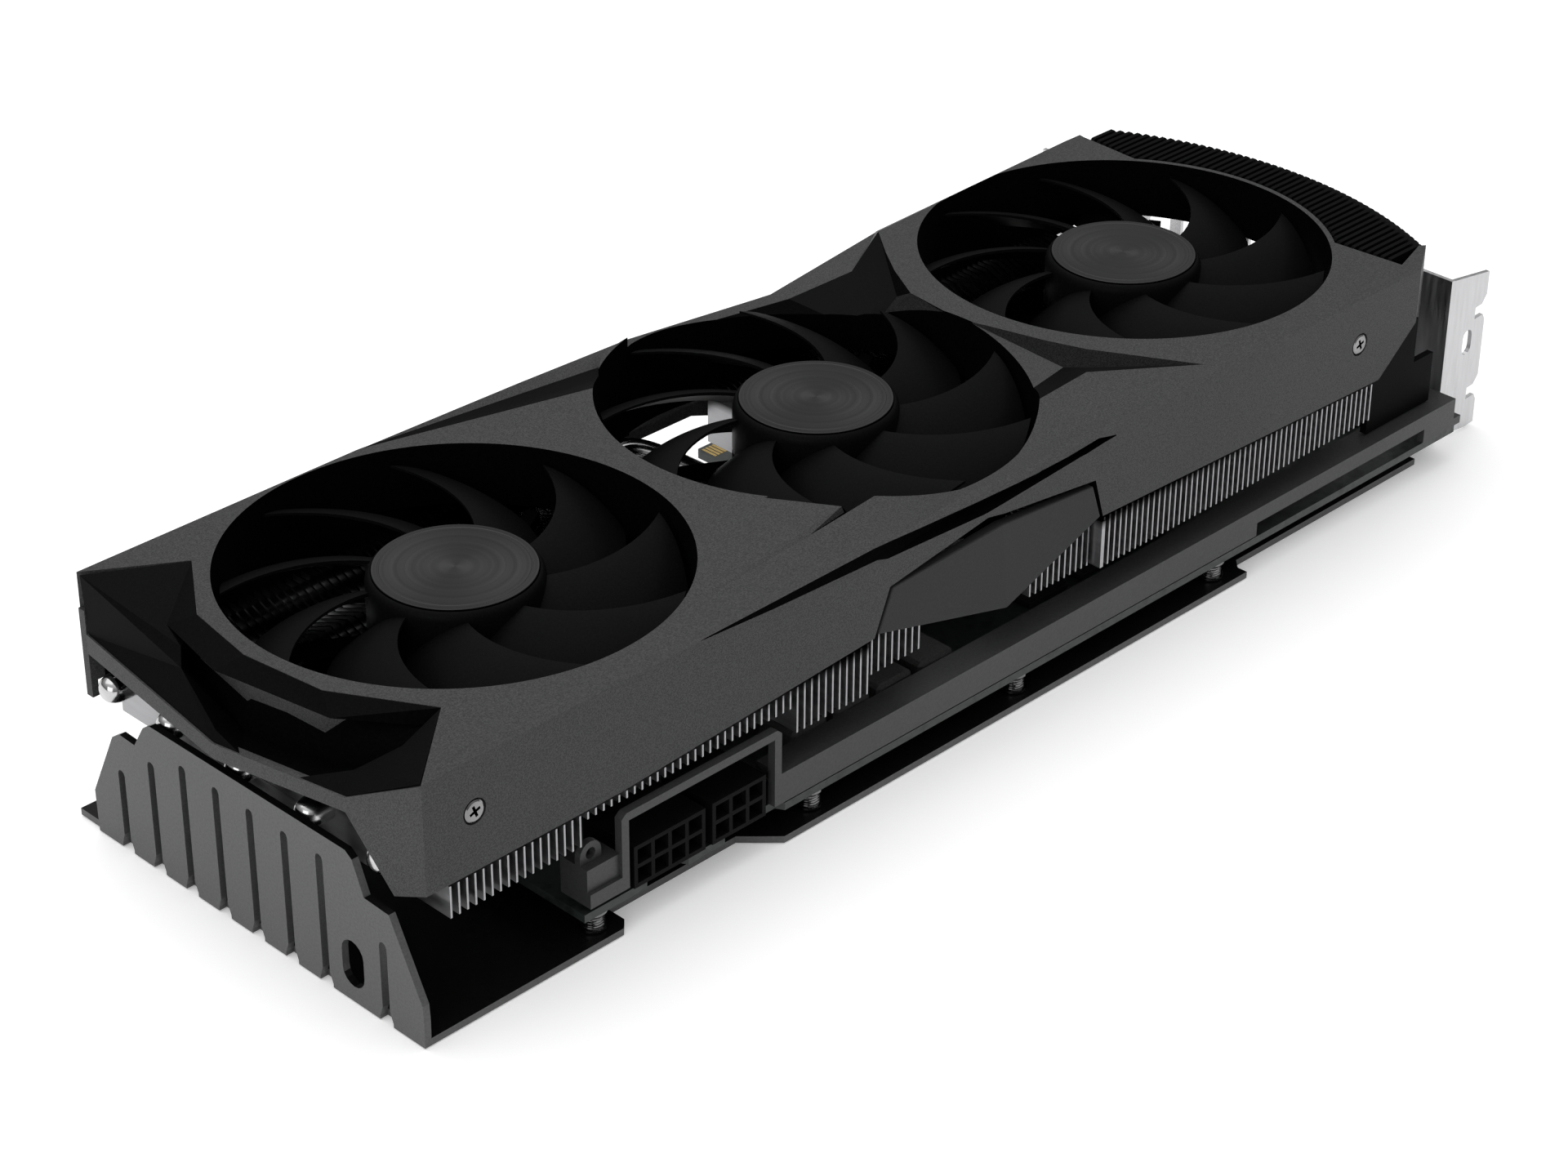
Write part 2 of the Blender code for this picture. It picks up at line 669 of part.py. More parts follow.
def make_fan_mount(name, x, mats):
    """The fixed motor with its bearing tube, on a plate held by three spokes under the ring."""
    stator_profile = [
        (0.0, 36.5), (17.0, 36.5), (17.0, 39.6), (13.6, 39.6), (13.6, 44.0), (3.4, 44.0), (3.4, 45.8),
        (BEARING_RADIUS, 45.8), (BEARING_RADIUS, 38.6), (0.0, 38.6),
    ]
    motor = turned(f"{name}_motor", stator_profile, (x, 0.0), 24, mats["black"])
    for number in range(FAN_SPOKES):
        angle = math.radians(30.0 + 120.0 * number)
        along = Vector((math.cos(angle), math.sin(angle)))
        across = Vector((-along.y, along.x)) * 1.4
        start = along * 15.0
        end = along * 45.4
        corners = [start - across, end - across, end + across, start + across]
        outline = [(x + c.x, c.y) for c in corners]
        spoke = prism(f"{name}_spoke_{number + 1}", outline, 36.6, 39.0, None)
        join(motor, spoke)
    return motor


# ---------------------------------------------------------------- heatsink


def comb_outline(x0, x1, tip_z):
    """Side view of a row of fins that hang from a spine."""
    spine_low = FIN_FRONT_TOP_Z - 0.8
    count = int((x1 - x0 - FIN_THICK) / FIN_PITCH + 1e-6) + 1
    points = [(x0, FIN_FRONT_TOP_Z), (x0, tip_z(x0))]
    for i in range(count):
        left = x0 + i * FIN_PITCH
        right = left + FIN_THICK
        if i > 0:
            points += [(left, spine_low), (left, tip_z(left))]
        points += [(right, tip_z(left))]
        if i < count - 1:
            points += [(right, spine_low)]
    last = x0 + (count - 1) * FIN_PITCH + FIN_THICK
    points += [(last, FIN_FRONT_TOP_Z)]
    return points


def make_tail_fins(mats):
    """Fin stack under the tail and middle fans, cut away above the power sockets."""
    x0, x1 = -144.9, -21.5

    def tip(x):
        return 28.4 if -113.0 < x < -61.0 else FIN_BOTTOM_Z

    comb = comb_outline(x0, x1, tip)
    stack = prism("fin_stack_tail", comb, FIN_NEAR_Y, -44.0, mats["fins"], axis="y")
    upper = block("tail_fin_top", (x0 + 0.2, x1 - 1.2), (-50.7, 41.0), (28.9, FIN_TOP_Z), None)
    lower = block("tail_fin_core", (x0 + 0.4, x1 - 1.4), (-45.0, 41.0), (25.6, 31.0), None)
    recess = block("tail_fin_recess", (-113.4, -60.6), (-60.0, 60.0), (10.0, 28.6), None)
    setback = block("tail_fin_setback", (-39.6, 0.0), (-60.0, -50.7), (10.0, 40.0), None)
    join(stack, upper, lower)
    cut(stack, recess, setback)
    for index, y in enumerate(PIPE_TAIL_Y):
        round_bore = circle(PIPE_RADIUS + GAP, (y, PIPE_Z), 12)
        bore = prism(f"tail_bore_{index + 1}", round_bore, x0 - 5, x1 + 5, None, axis="x")
        cut(stack, bore)
    return stack


def make_bracket_fins(mats):
    """Fin stack over the base block and under the bracket-end fan."""
    x0, x1 = 9.4, 119.9

    def tip(x):
        return 22.2

    comb = comb_outline(x0, x1, tip)
    stack = prism("fin_stack_bracket", comb, FIN_NEAR_Y, -44.0, mats["fins"], axis="y")
    upper = block("bracket_fin_top", (x0 + 0.2, x1 - 1.0), (-50.7, 41.0), (28.9, FIN_TOP_Z), None)
    lower = block("bracket_fin_core", (x0 + 0.4, x1 - 1.2), (-45.0, 41.0), (23.2, 31.0), None)
    setback = block("bracket_fin_setback", (0.0, 29.2), (-60.0, -50.7), (10.0, 40.0), None)
    join(stack, upper, lower)
    cut(stack, setback)
    return stack


def smooth_step(t):
    t = min(1.0, max(0.0, t))
    return t * t * (3 - 2 * t)


def make_heat_pipes(mats):
    """Five plated pipes: flat through the base block, up through the gap, then along the tail fins."""
    base_end = 72.0
    rise_start = 8.0
    rise_end = -19.0
    tail_end = FLANGE_X + BACKPLATE_THICK + 0.4
    tip_share = 0.5
    for index, (tail_y, base_y) in enumerate(zip(PIPE_TAIL_Y, PIPE_BASE_Y)):
        stations = [base_end, rise_start + 6.0]
        stations += [rise_start + (rise_end - rise_start) * i / 8 for i in range(9)]
        stations += [rise_end - 4.0, tail_end + 3.5]
        route = []
        for x in stations:
            share = smooth_step((rise_start - x) / (rise_start - rise_end))
            y = base_y + (tail_y - base_y) * share
            z = BASE_PIPE_Z + (PIPE_Z - BASE_PIPE_Z) * share
            route.append((x, y, z, 1.0))
        route.append((tail_end, tail_y, PIPE_Z, tip_share))
        make_pipe(f"heat_pipe_{index + 1}", route, mats["pipe"])


def make_pipe(name, route, mat):
    """A round bar along the route's points, whose fourth number scales its radius."""
    sides = 10
    bm = bmesh.new()
    rings = []
    for k, (x, y, z, share) in enumerate(route):
        before = Vector(route[max(k - 1, 0)][:3])
        after = Vector(route[min(k + 1, len(route) - 1)][:3])
        along = (after - before).normalized()
        side = along.cross(Vector((0, 0, 1))).normalized()
        up = side.cross(along)
        ring = []
        for cos_part, sin_part in circle(PIPE_RADIUS * share, (0.0, 0.0), sides):
            ring.append(bm.verts.new(Vector((x, y, z)) + side * cos_part + up * sin_part))
        rings.append(ring)
    for first, second in zip(rings, rings[1:]):
        for i in range(sides):
            j = (i + 1) % sides
            bm.faces.new((first[i], first[j], second[j], second[i]))
    bm.faces.new(rings[0][::-1])
    bm.faces.new(rings[-1])
    return new_object(name, bm, mat, smooth=50.0)


def make_base_block(mats):
    """Block over the graphics processor with the five pipes let into it."""
    base = block("base_block", (22.0, 70.0), (-24.0, 24.0), (12.4, 21.9), mats["base"])
    for index, y in enumerate(PIPE_BASE_Y):
        round_bore = circle(PIPE_RADIUS + GAP, (y, BASE_PIPE_Z), 12)
        bore = prism(f"base_bore_{index + 1}", round_bore, 10.0, 90.0, None, axis="x")
        cut(base, bore)
    return base


# ---------------------------------------------------------------- board


def board_outline():
    key_left = BRACKET_X - 11.65 - 46.9
    return [
        (PCB_TAIL_X, PCB_NEAR_Y), (-98.0, PCB_NEAR_Y), (-97.0, -51.0), (-88.4, -51.0), (-87.4, PCB_NEAR_Y),
        (-78.0, PCB_NEAR_Y), (-77.0, -51.0), (-63.0, -51.0), (-62.0, PCB_NEAR_Y),
        (PCB_FACE_X, PCB_NEAR_Y), (PCB_FACE_X, PCB_FAR_Y),
        (key_left + 11.65, PCB_FAR_Y), (key_left + 11.65, CONNECTOR_Y - 0.8), (key_left + 10.9, CONNECTOR_Y),
        (key_left + 0.7, CONNECTOR_Y), (key_left, CONNECTOR_Y - 0.8), (key_left, 50.6),
        (key_left - 1.9, 50.6), (key_left - 1.9, CONNECTOR_Y - 0.8), (key_left - 2.6, CONNECTOR_Y),
        (key_left - 72.8, CONNECTOR_Y), (key_left - 73.55, CONNECTOR_Y - 0.8), (key_left - 73.55, PCB_FAR_Y),
        (PCB_TAIL_X, PCB_FAR_Y),
    ]


def make_board(mats):
    return prism("circuit_board", board_outline(), PCB_BOTTOM_Z, PCB_TOP_Z, mats["board"])


def make_processor(mats):
    base_z = PCB_TOP_Z + GAP
    package = block("gpu_package", (GPU_X - 22.5, GPU_X + 22.5), (-22.5, 22.5), (base_z, base_z + 1.6),
                    mats["silicon"])
    die = block("gpu_die", (GPU_X - 13.0, GPU_X + 13.0), (-13.0, 13.0), (base_z + 1.2, 12.0), None)
    join(package, die)
    return package


def make_memory(mats):
    """Eight memory chips in an L on three sides of the processor."""
    places = [(GPU_X - 32.0, -22.0), (GPU_X - 32.0, -7.0), (GPU_X - 32.0, 8.0), (GPU_X - 32.0, 23.0),
              (GPU_X - 16.0, -33.0), (GPU_X, -33.0), (GPU_X + 16.0, -33.0), (GPU_X + 32.0, -22.0)]
    for index, (x, y) in enumerate(places):
        block(f"memory_chip_{index + 1}", (x - 6.0, x + 6.0), (y - 5.6, y + 5.6),
              (PCB_TOP_Z + GAP, PCB_TOP_Z + GAP + 1.1), mats["chip"])


def make_chokes(mats):
    """Square power chokes; the row behind the near rail shows between the fin stacks."""
    for index, x in enumerate((-46.0, -34.0, -22.0, -10.0)):
        z_range = (PCB_TOP_Z + GAP, 14.0)
        body = block(f"choke_{index + 1}", (x - 5.0, x + 5.0), (-44.0, -34.0), z_range, mats["chip"])
        bevel = body.modifiers.new("rounded", "BEVEL")
        bevel.width = 0.8 * MM
        bevel.segments = 1


def make_power_socket(name, x0, x1, columns, mats):
    """Housing of a two-row power socket, open towards -Y."""
    low, high = 8.3, 17.5
    housing = block(name, (x0, x1), (NEAR_Y - 0.6, -40.0), (low, high), mats["black"])
    pitch_x = (x1 - x0 - 0.9) / columns
    pitch_z = (high - low - 0.9) / 2
    bm = bmesh.new()
    for column in range(columns):
        for row in range(2):
            left = x0 + 0.9 + column * pitch_x
            bottom = low + 0.9 + row * pitch_z
            outline = rectangle(left, left + pitch_x - 0.9, bottom, bottom + pitch_z - 0.9)
            add_prism(bm, outline, NEAR_Y - 3, -44.0, "y")
    cut(housing, new_object(name + "_holes", bm, None))
    return housing


def make_power_sockets(mats):
    make_power_socket("power_socket_8", -101.9, -83.8, 4, mats)
    make_power_socket("power_socket_6", -82.0, -68.0, 3, mats)


# ---------------------------------------------------------------- frame, bracket and backplate


def make_side_rail(mats):
    """The long rail on the board's near edge, bent up into a box over the power sockets."""
    outer_y, inner_y = -54.0, -52.2
    outline = [
        (-113.1, 9.6), (-103.4, 9.6), (-103.4, 24.4), (-66.0, 24.4), (-66.0, 9.3), (79.4, 9.3), (79.4, 12.4),
        (139.0, 12.4), (139.0, 9.0), (152.8, 9.0), (152.8, 10.9), (150.2, 10.9), (150.2, 16.0), (-64.2, 16.0),
        (-64.2, 25.2), (-65.4, 26.2), (-104.0, 26.2), (-105.2, 25.2), (-105.2, 12.7), (-113.1, 12.7),
    ]
    rail = prism("side_rail", outline, outer_y, inner_y, mats["plate"], axis="y")
    shelf = block("rail_shelf", (-64.4, 150.2), (inner_y - 1.0, -47.4), (14.6, 16.0), None)
    tail_shelf = block("rail_tail_shelf", (-113.1, -105.0), (inner_y - 1.0, -46.0), (9.6, 17.6), None)
    lug = prism("rail_lug", [(-113.1, 16.0), (-107.9, 16.0), *arc((-110.5, 19.4), 2.6, 0.0, 180.0, 8)],
                -51.4, -50.0, None, axis="y")
    join(rail, shelf, tail_shelf, lug)
    cut(rail, prism("rail_lug_hole", circle(1.2, (-110.5, 19.5), 12), -60.0, -40.0, None, "y"))
    return rail


def make_spacers(mats):
    """Screw collars between the board and the backplate."""
    for index, (x, y) in enumerate(((-108.8, -49.6), (-52.4, -49.6), (6.8, -49.6), (70.0, -49.6))):
        profile = [(1.2, 1.8), (2.8, 1.8), (2.8, 5.9), (1.2, 5.9)]
        turned(f"board_spacer_{index + 1}", profile, (x, y), 16, mats["steel"])


TAB_Y = -47.2
TAB_LENGTH = 13.6
LOW_NOTCH_Z = 9.4
BRACKET_LOW_Z = 1.9
BRACKET_HIGH_Z = 41.2
SLOT_PITCH = 20.32
VENT_COUNT = 9
VENT_FIRST_Y = -34.0
VENT_PITCH = 10.0
TONGUE_Y = 72.8


def make_bracket(mats):
    """Two-slot bracket: face plate with socket windows, tongues below and a notched tab above."""
    face = [
        (TAB_Y, BRACKET_LOW_Z), (58.0, BRACKET_LOW_Z),
        (61.0, 4.6), (TONGUE_Y, 4.6), (TONGUE_Y, 14.8), (61.0, 14.8),
        (59.0, 18.2), (59.0, 22.6),
        (61.0, 25.0), (TONGUE_Y, 25.0), (TONGUE_Y, 35.2), (61.0, 35.2),
        (58.0, BRACKET_HIGH_Z), (TAB_Y, BRACKET_HIGH_Z),
    ]
    bracket = prism("slot_bracket", face, BRACKET_X - 1.0, BRACKET_X, mats["steel"], axis="x")
    tip = BRACKET_X + TAB_LENGTH
    tab = [(BRACKET_X - 1.0, BRACKET_LOW_Z), (BRACKET_X + 10.4, 0.5), (tip, 0.8)]
    for z in (LOW_NOTCH_Z, LOW_NOTCH_Z + SLOT_PITCH):
        tab += [(tip, z - 2.8), (tip - 0.8, z - 1.3), (tip - 4.0, z - 1.5), (tip - 4.0, z + 1.4),
                (tip - 1.6, z + 1.6), (tip, z + 3.6)]
    tab += [(tip, 38.9), (BRACKET_X - 1.0, BRACKET_HIGH_Z)]
    screw_tab = prism("screw_tab", tab, TAB_Y, TAB_Y + 1.0, None, axis="y")
    join(bracket, screw_tab)
    oval = [*arc((162.6, 24.6), 1.7, 0.0, 180.0, 6), *arc((162.6, 21.8), 1.7, 180.0, 360.0, 6)]
    slot = prism("tab_slot", oval, TAB_Y - 3, TAB_Y + 3, None, axis="y")
    cut(bracket, slot)
    through = (BRACKET_X - 4, BRACKET_X + 4)
    for index, (y, width) in enumerate(VIDEO_SOCKETS):
        y_range = (y - width / 2, y + width / 2)
        cut(bracket, block(f"socket_window_{index + 1}", through, y_range, (8.0, 15.4), None))
    for index in range(VENT_COUNT):
        y = VENT_FIRST_Y + VENT_PITCH * index
        cut(bracket, block(f"vent_{index + 1}", through, (y - 3.4, y + 3.4), (20.6, 36.4), None))
    return bracket


VIDEO_SOCKETS = ((-30.0, 17.2), (-5.0, 17.2), (20.0, 17.2), (43.0, 15.4))


def make_video_sockets(mats):
    """Shells of the video sockets, whose mouths stand in the bracket's windows."""
    for index, (y, width) in enumerate(VIDEO_SOCKETS):
        half = width / 2 - 0.5
        inner = half - 0.8
        shell_x = (136.0, BRACKET_X - 0.1)
        shell = block(f"video_socket_{index + 1}", shell_x, (y - half, y + half), (8.3, 15.1), mats["steel"])
        mouth_x = (142.0, BRACKET_X + 3)
        mouth = block(f"video_mouth_{index + 1}", mouth_x, (y - inner, y + inner), (9.1, 14.3), None)
        cut(shell, mouth)


def make_bracket_stay(mats):
    """Black gusset between the rail's end and the bracket."""
    outline = [
        (121.6, 16.4), (121.6, 33.0), (127.0, 36.8), (137.4, 39.4),
        (137.4, 28.4), (144.6, 28.4), (144.6, 16.4),
    ]
    return prism("bracket_stay", outline, -50.4, -48.8, mats["black"], axis="y")


def flange_outline():
    """Tail flange seen from outside, as (y, z)."""
    return [
        (-54.1, 0.0), (-54.2, 5.6), (-54.0, 9.0), (-46.0, 24.6), (-39.4, 24.9), (-36.6, 31.6), (-34.8, 32.8),
        (21.0, 32.6), (23.2, 31.2), (26.4, 26.0), (31.0, 26.2), (33.4, 24.6), (41.0, 9.2), (40.8, 0.0),
    ]


FLANGE_SLOTS = [  # middle y of each slot and its top end's height
    (31.6, 18.0), (21.8, 24.4), (12.0, 28.2), (2.2, 28.2),
    (-7.6, 28.2), (-17.4, 28.2), (-27.2, 28.2), (-43.8, 17.6),
]
SLOT_WIDTH = 2.0


def make_backplate(mats):
    """Backplate with its bent-up, slotted tail flange."""
    plan = [
        (FLANGE_X + 0.7, -54.1), (-105.2, -54.1), (-103.2, -52.1), (-103.2, -47.6), (-70.0, -47.6),
        (-66.6, -51.0), (-63.4, -54.1), (77.0, -54.1), (77.0, -51.6), (79.2, -49.4), (143.4, -49.4),
        (143.4, 46.4), (136.0, 47.6), (FLANGE_X + 0.7, 47.6),
    ]
    plate = prism("backplate", plan, 0.0, BACKPLATE_THICK, mats["plate"])
    flange = prism("flange", flange_outline(), FLANGE_X, FLANGE_X + BACKPLATE_THICK, None, axis="x")
    join(plate, flange)
    slots = []
    for index, (y, top) in enumerate(FLANGE_SLOTS):
        half = SLOT_WIDTH / 2
        outline = [(y - half - 0.8, -1.0), (y + half + 0.8, -1.0), (y + half + 0.8, 0.8), (y + half, 3.0),
                   *arc((y, top - half), half, 0.0, 180.0, 4), (y - half, 3.0), (y - half - 0.8, 0.8)]
        cutter_end = FLANGE_X + BACKPLATE_THICK + 0.2
        slots.append(prism(f"flange_slot_{index + 1}", outline, FLANGE_X - 3, cutter_end, None, axis="x"))
    oval = [*arc((-35.1, 10.4), 3.0, 0.0, 180.0, 8), *arc((-35.1, 6.4), 3.0, 180.0, 360.0, 8)]
    slots.append(prism("flange_hole", oval, FLANGE_X - 3, FLANGE_X + 4, None, axis="x"))
    cut(plate, *slots)
    return plate


def main():
    clear_scene()
    mats = make_materials()
    make_shroud(mats)
    make_tail_insert(mats)
    make_end_cap(mats)
    make_side_badge(mats)
    make_side_screws(mats)
    for index, x in enumerate(FAN_X):
        make_fan(index + 1, x, mats)
    make_tail_fins(mats)
    make_bracket_fins(mats)
    make_heat_pipes(mats)
    make_base_block(mats)
    make_board(mats)
    make_processor(mats)
    make_memory(mats)
    make_chokes(mats)
    make_power_sockets(mats)
    make_side_rail(mats)
    make_spacers(mats)
    make_bracket(mats)
    make_video_sockets(mats)
    make_bracket_stay(mats)
    make_backplate(mats)


main()
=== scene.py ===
"""The looks of a three-fan graphics card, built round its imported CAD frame.

Sizes are millimetres in the CAD's frame: +X towards the slot bracket, -Y the long side with the
power sockets, +Z out of the fans, origin on the backplate under the middle fan.
"""

import math
import random

import bmesh
import bpy
from mathutils import Matrix, Vector


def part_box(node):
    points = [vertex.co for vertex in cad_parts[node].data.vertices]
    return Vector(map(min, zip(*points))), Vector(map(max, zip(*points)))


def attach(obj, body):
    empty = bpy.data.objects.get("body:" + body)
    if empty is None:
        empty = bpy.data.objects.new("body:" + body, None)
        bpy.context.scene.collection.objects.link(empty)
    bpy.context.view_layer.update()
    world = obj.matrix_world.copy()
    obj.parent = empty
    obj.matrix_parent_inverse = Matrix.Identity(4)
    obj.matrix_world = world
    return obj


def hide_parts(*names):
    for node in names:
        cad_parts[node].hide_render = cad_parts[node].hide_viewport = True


MM = 0.001

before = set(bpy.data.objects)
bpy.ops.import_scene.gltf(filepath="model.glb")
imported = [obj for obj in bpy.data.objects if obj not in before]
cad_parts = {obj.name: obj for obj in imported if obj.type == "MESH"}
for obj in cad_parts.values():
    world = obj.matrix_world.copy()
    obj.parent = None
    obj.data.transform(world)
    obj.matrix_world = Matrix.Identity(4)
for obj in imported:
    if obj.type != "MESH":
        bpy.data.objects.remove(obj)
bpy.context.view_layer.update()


def node_box(node):
    """Lowest and highest corner of a CAD node, in millimetres."""
    low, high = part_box(node)
    return Vector(low) / MM, Vector(high) / MM


def middle_x(node):
    low, high = node_box(node)
    return (low.x + high.x) / 2


# Driving dimensions, several of them read from the frame
FAN_X = [middle_x(f"fan_{index}_disc") for index in (1, 2, 3)]
FAN_PITCH = FAN_X[2] - FAN_X[1]
TOP_Z = node_box("shroud")[1].z
NEAR_Y = -53.0
FAR_Y = node_box("shroud")[1].y
SKIRT_Z = 30.4
WALL = 1.8
OPENING_RADIUS = 45.1
RING_RADIUS = 46.3
RING_BOTTOM_Z = 40.0
CAP_ARC_CENTER = (63.7, -1.8)
CAP_ARC_RADIUS = 91.1
CAP_LOW_Z = 41.8
HUB_RADIUS = 17.0
DISC_RADIUS = 15.6
DISC_TOP_Z = node_box("fan_1_disc")[1].z
BLADE_COUNT = 9
BLADE_RADIUS = 43.6
BLADE_SWEEP = 30.0
SIDE_SCREWS = ("side_screw_tail", "side_screw_bracket")
SCREW_X = [middle_x(name) for name in SIDE_SCREWS]
SCREW_Z = 42.7
NEAR_SKIRT = [(-104.0, SKIRT_Z), (-38.2, 34.2), (-0.6, 24.6), (28.3, 34.2), (120.6, 31.2)]
FIN_TOP_Z = 36.0
FIN_THICK = 0.42
FIN_FAR_Y = 41.0
FIN_NEAR_Y = -53.1
FIN_SET_BACK_Y = -50.6
FIN_NOTCH_Z = 33.8
PIPE_RADIUS = 3.0
BOARD_TOP_Z = node_box("circuit_board")[1].z


# ---------------- mesh tools


def new_object(name, bm, mats=(), smooth=None):
    bmesh.ops.recalc_face_normals(bm, faces=bm.faces[:])
    bmesh.ops.scale(bm, vec=(MM, MM, MM), verts=bm.verts[:])
    mesh = bpy.data.meshes.new(name)
    bm.to_mesh(mesh)
    bm.free()
    obj = bpy.data.objects.new(name, mesh)
    bpy.context.collection.objects.link(obj)
    for mat in mats:
        mesh.materials.append(mat)
    if smooth is not None:
        shade(obj, smooth)
    return obj


def shade(obj, degrees):
    obj.data.shade_smooth()
    obj.data.set_sharp_from_angle(angle=math.radians(degrees))


def add_prism(bm, outline, low, high, axis="z"):
    """A closed prism; the outline's coordinates are the two other axes in order."""
    def put(point, level):
        if axis == "x":
            return (level, point[0], point[1])
        if axis == "y":
            return (point[0], level, point[1])
        return (point[0], point[1], level)

    bottom = [bm.verts.new(put(p, low)) for p in outline]
    top = [bm.verts.new(put(p, high)) for p in outline]
    bm.faces.new(bottom[::-1])
    bm.faces.new(top)
    for i in range(len(outline)):
        j = (i + 1) % len(outline)
        bm.faces.new((bottom[i], bottom[j], top[j], top[i]))


def prism(name, outline, low, high, axis="z", mats=()):
    bm = bmesh.new()
    add_prism(bm, outline, low, high, axis)
    return new_object(name, bm, mats)


def rectangle(x0, x1, y0, y1):
    return [(x0, y0), (x1, y0), (x1, y1), (x0, y1)]


def add_box(bm, x_range, y_range, z_range):
    add_prism(bm, rectangle(*x_range, *y_range), *z_range)


def circle(radius, center=(0.0, 0.0), sides=128):
    points = []
    for i in range(sides):
        angle = 2 * math.pi * i / sides
        points.append((center[0] + radius * math.cos(angle), center[1] + radius * math.sin(angle)))
    return points


def arc(center, radius, start_deg, end_deg, steps):
    points = []
    for i in range(steps + 1):
        angle = math.radians(start_deg + (end_deg - start_deg) * i / steps)
        points.append((center[0] + radius * math.cos(angle), center[1] + radius * math.sin(angle)))
    return points


def add_turned(bm, profile, center, sides, axis="z"):
    """A closed body turned from (radius, height) points about an axis through center."""
    def put(a, b, height):
        if axis == "y":
            return (a, height, b)
        return (a, b, height)

    rings = []
    for radius, height in profile:
        if radius == 0.0:
            rings.append([bm.verts.new(put(center[0], center[1], height))])
        else:
            rings.append([bm.verts.new(put(a, b, height)) for a, b in circle(radius, center, sides)])
    hollow = profile[0][0] > 0.0
    following = rings[1:] + (rings[:1] if hollow else [])
    for first, second in zip(rings, following):
        for i in range(sides):
            corners = []
            for ring, k in ((first, i), (first, i + 1), (second, i + 1), (second, i)):
                vert = ring[k % sides] if len(ring) > 1 else ring[0]
                if vert not in corners:
                    corners.append(vert)
            if len(corners) > 2:
                bm.faces.new(corners)


def loft(bm, rings):
    """Skins a row of rings that have equally many corners, and closes both ends."""
    sides = len(rings[0])
    for first, second in zip(rings, rings[1:]):
        for i in range(sides):
            j = (i + 1) % sides
            bm.faces.new((first[i], first[j], second[j], second[i]))
    bm.faces.new(rings[0][::-1])
    bm.faces.new(rings[-1])


def turned(name, profile, center=(0.0, 0.0), sides=96, mats=(), smooth=30.0, axis="z"):
    bm = bmesh.new()
    add_turned(bm, profile, center, sides, axis)
    return new_object(name, bm, mats, smooth)


def facet_cutter(name, corners, facets, mats):
    """A cutter whose underside is the given facets. Each facet names its finish and its corners."""
    bm = bmesh.new()
    under = {key: bm.verts.new(place) for key, place in corners.items()}
    over = {key: bm.verts.new((place[0], place[1], TOP_Z + 6)) for key, place in corners.items()}
    finishes = list(dict.fromkeys(finish for finish, _ in facets))
    edges = set()
    for finish, facet in facets:
        floor = bm.faces.new([under[key] for key in reversed(facet)])
        floor.material_index = finishes.index(finish)
        bm.faces.new([over[key] for key in facet])
        edges.update(zip(facet, facet[1:] + facet[:1]))
    for a, b in sorted(edges):
        if (b, a) not in edges:
            bm.faces.new((under[a], under[b], over[b], over[a]))
    bmesh.ops.triangulate(bm, faces=bm.faces[:])
    return new_object(name, bm, [mats[finish] for finish in finishes])


def combine(obj, others, operation):
    """Joins or cuts obj with the other solids, which are then removed."""
    for other in others:
        modifier = obj.modifiers.new("solid", "BOOLEAN")
        modifier.operation = operation
        modifier.object = other
        modifier.solver = "EXACT"
        modifier.material_mode = "TRANSFER"
    settle(obj)
    for other in others:
        bpy.data.objects.remove(other, do_unlink=True)
    return obj


def cut(obj, *others):
    return combine(obj, others, "DIFFERENCE")


def join(obj, *others):
    return combine(obj, others, "UNION")


def settle(obj):
    """Makes the object's modifiers part of its mesh."""
    depsgraph = bpy.context.evaluated_depsgraph_get()
    mesh = bpy.data.meshes.new_from_object(obj.evaluated_get(depsgraph))
    obj.modifiers.clear()
    obj.data = mesh


def soften(obj, width, segments=2, degrees=24.0):
    """Rounds the object's sharp edges, as moulding or folding leaves them."""
    modifier = obj.modifiers.new("soft_edges", "BEVEL")
    modifier.width = width * MM
    modifier.segments = segments
    modifier.limit_method = "ANGLE"
    modifier.angle_limit = math.radians(degrees)
    return obj


def piece(obj, body, slot, *nodes):
    """Says which body a piece rides on and the CAD nodes it stands for, which it hides; slot, its finish, is
    not used.
    """
    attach(obj, body)
    if nodes:
        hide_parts(*nodes)
    return obj


# ---------------- materials


def base_material(name, color, roughness, metallic=0.0):
    mat = bpy.data.materials.new(name)
    mat.use_nodes = True
    shader = mat.node_tree.nodes["Principled BSDF"]
    shader.inputs["Base Color"].default_value = (*color, 1.0)
    shader.inputs["Roughness"].default_value = roughness
    shader.inputs["Metallic"].default_value = metallic
    return mat, mat.node_tree.nodes, mat.node_tree.links, shader


def grey(level, blue=None):
    """A neutral colour, whose blue may differ a little."""
    return (level, level, level if blue is None else blue)


def object_space(nodes):
    return nodes.new("ShaderNodeTexCoord").outputs["Object"]


def noise(nodes, links, scale, detail=2.0, stretch=None):
    """Noise in the object's own space; scale is in features per metre."""
    place = object_space(nodes)
    texture = nodes.new("ShaderNodeTexNoise")
    texture.inputs["Scale"].default_value = scale
    texture.inputs["Detail"].default_value = detail
    if stretch is None:
        links.new(place, texture.inputs["Vector"])
    else:
        mapping = nodes.new("ShaderNodeMapping")
        mapping.inputs["Scale"].default_value = stretch
        links.new(place, mapping.inputs["Vector"])
        links.new(mapping.outputs["Vector"], texture.inputs["Vector"])
    return texture.outputs["Fac"]


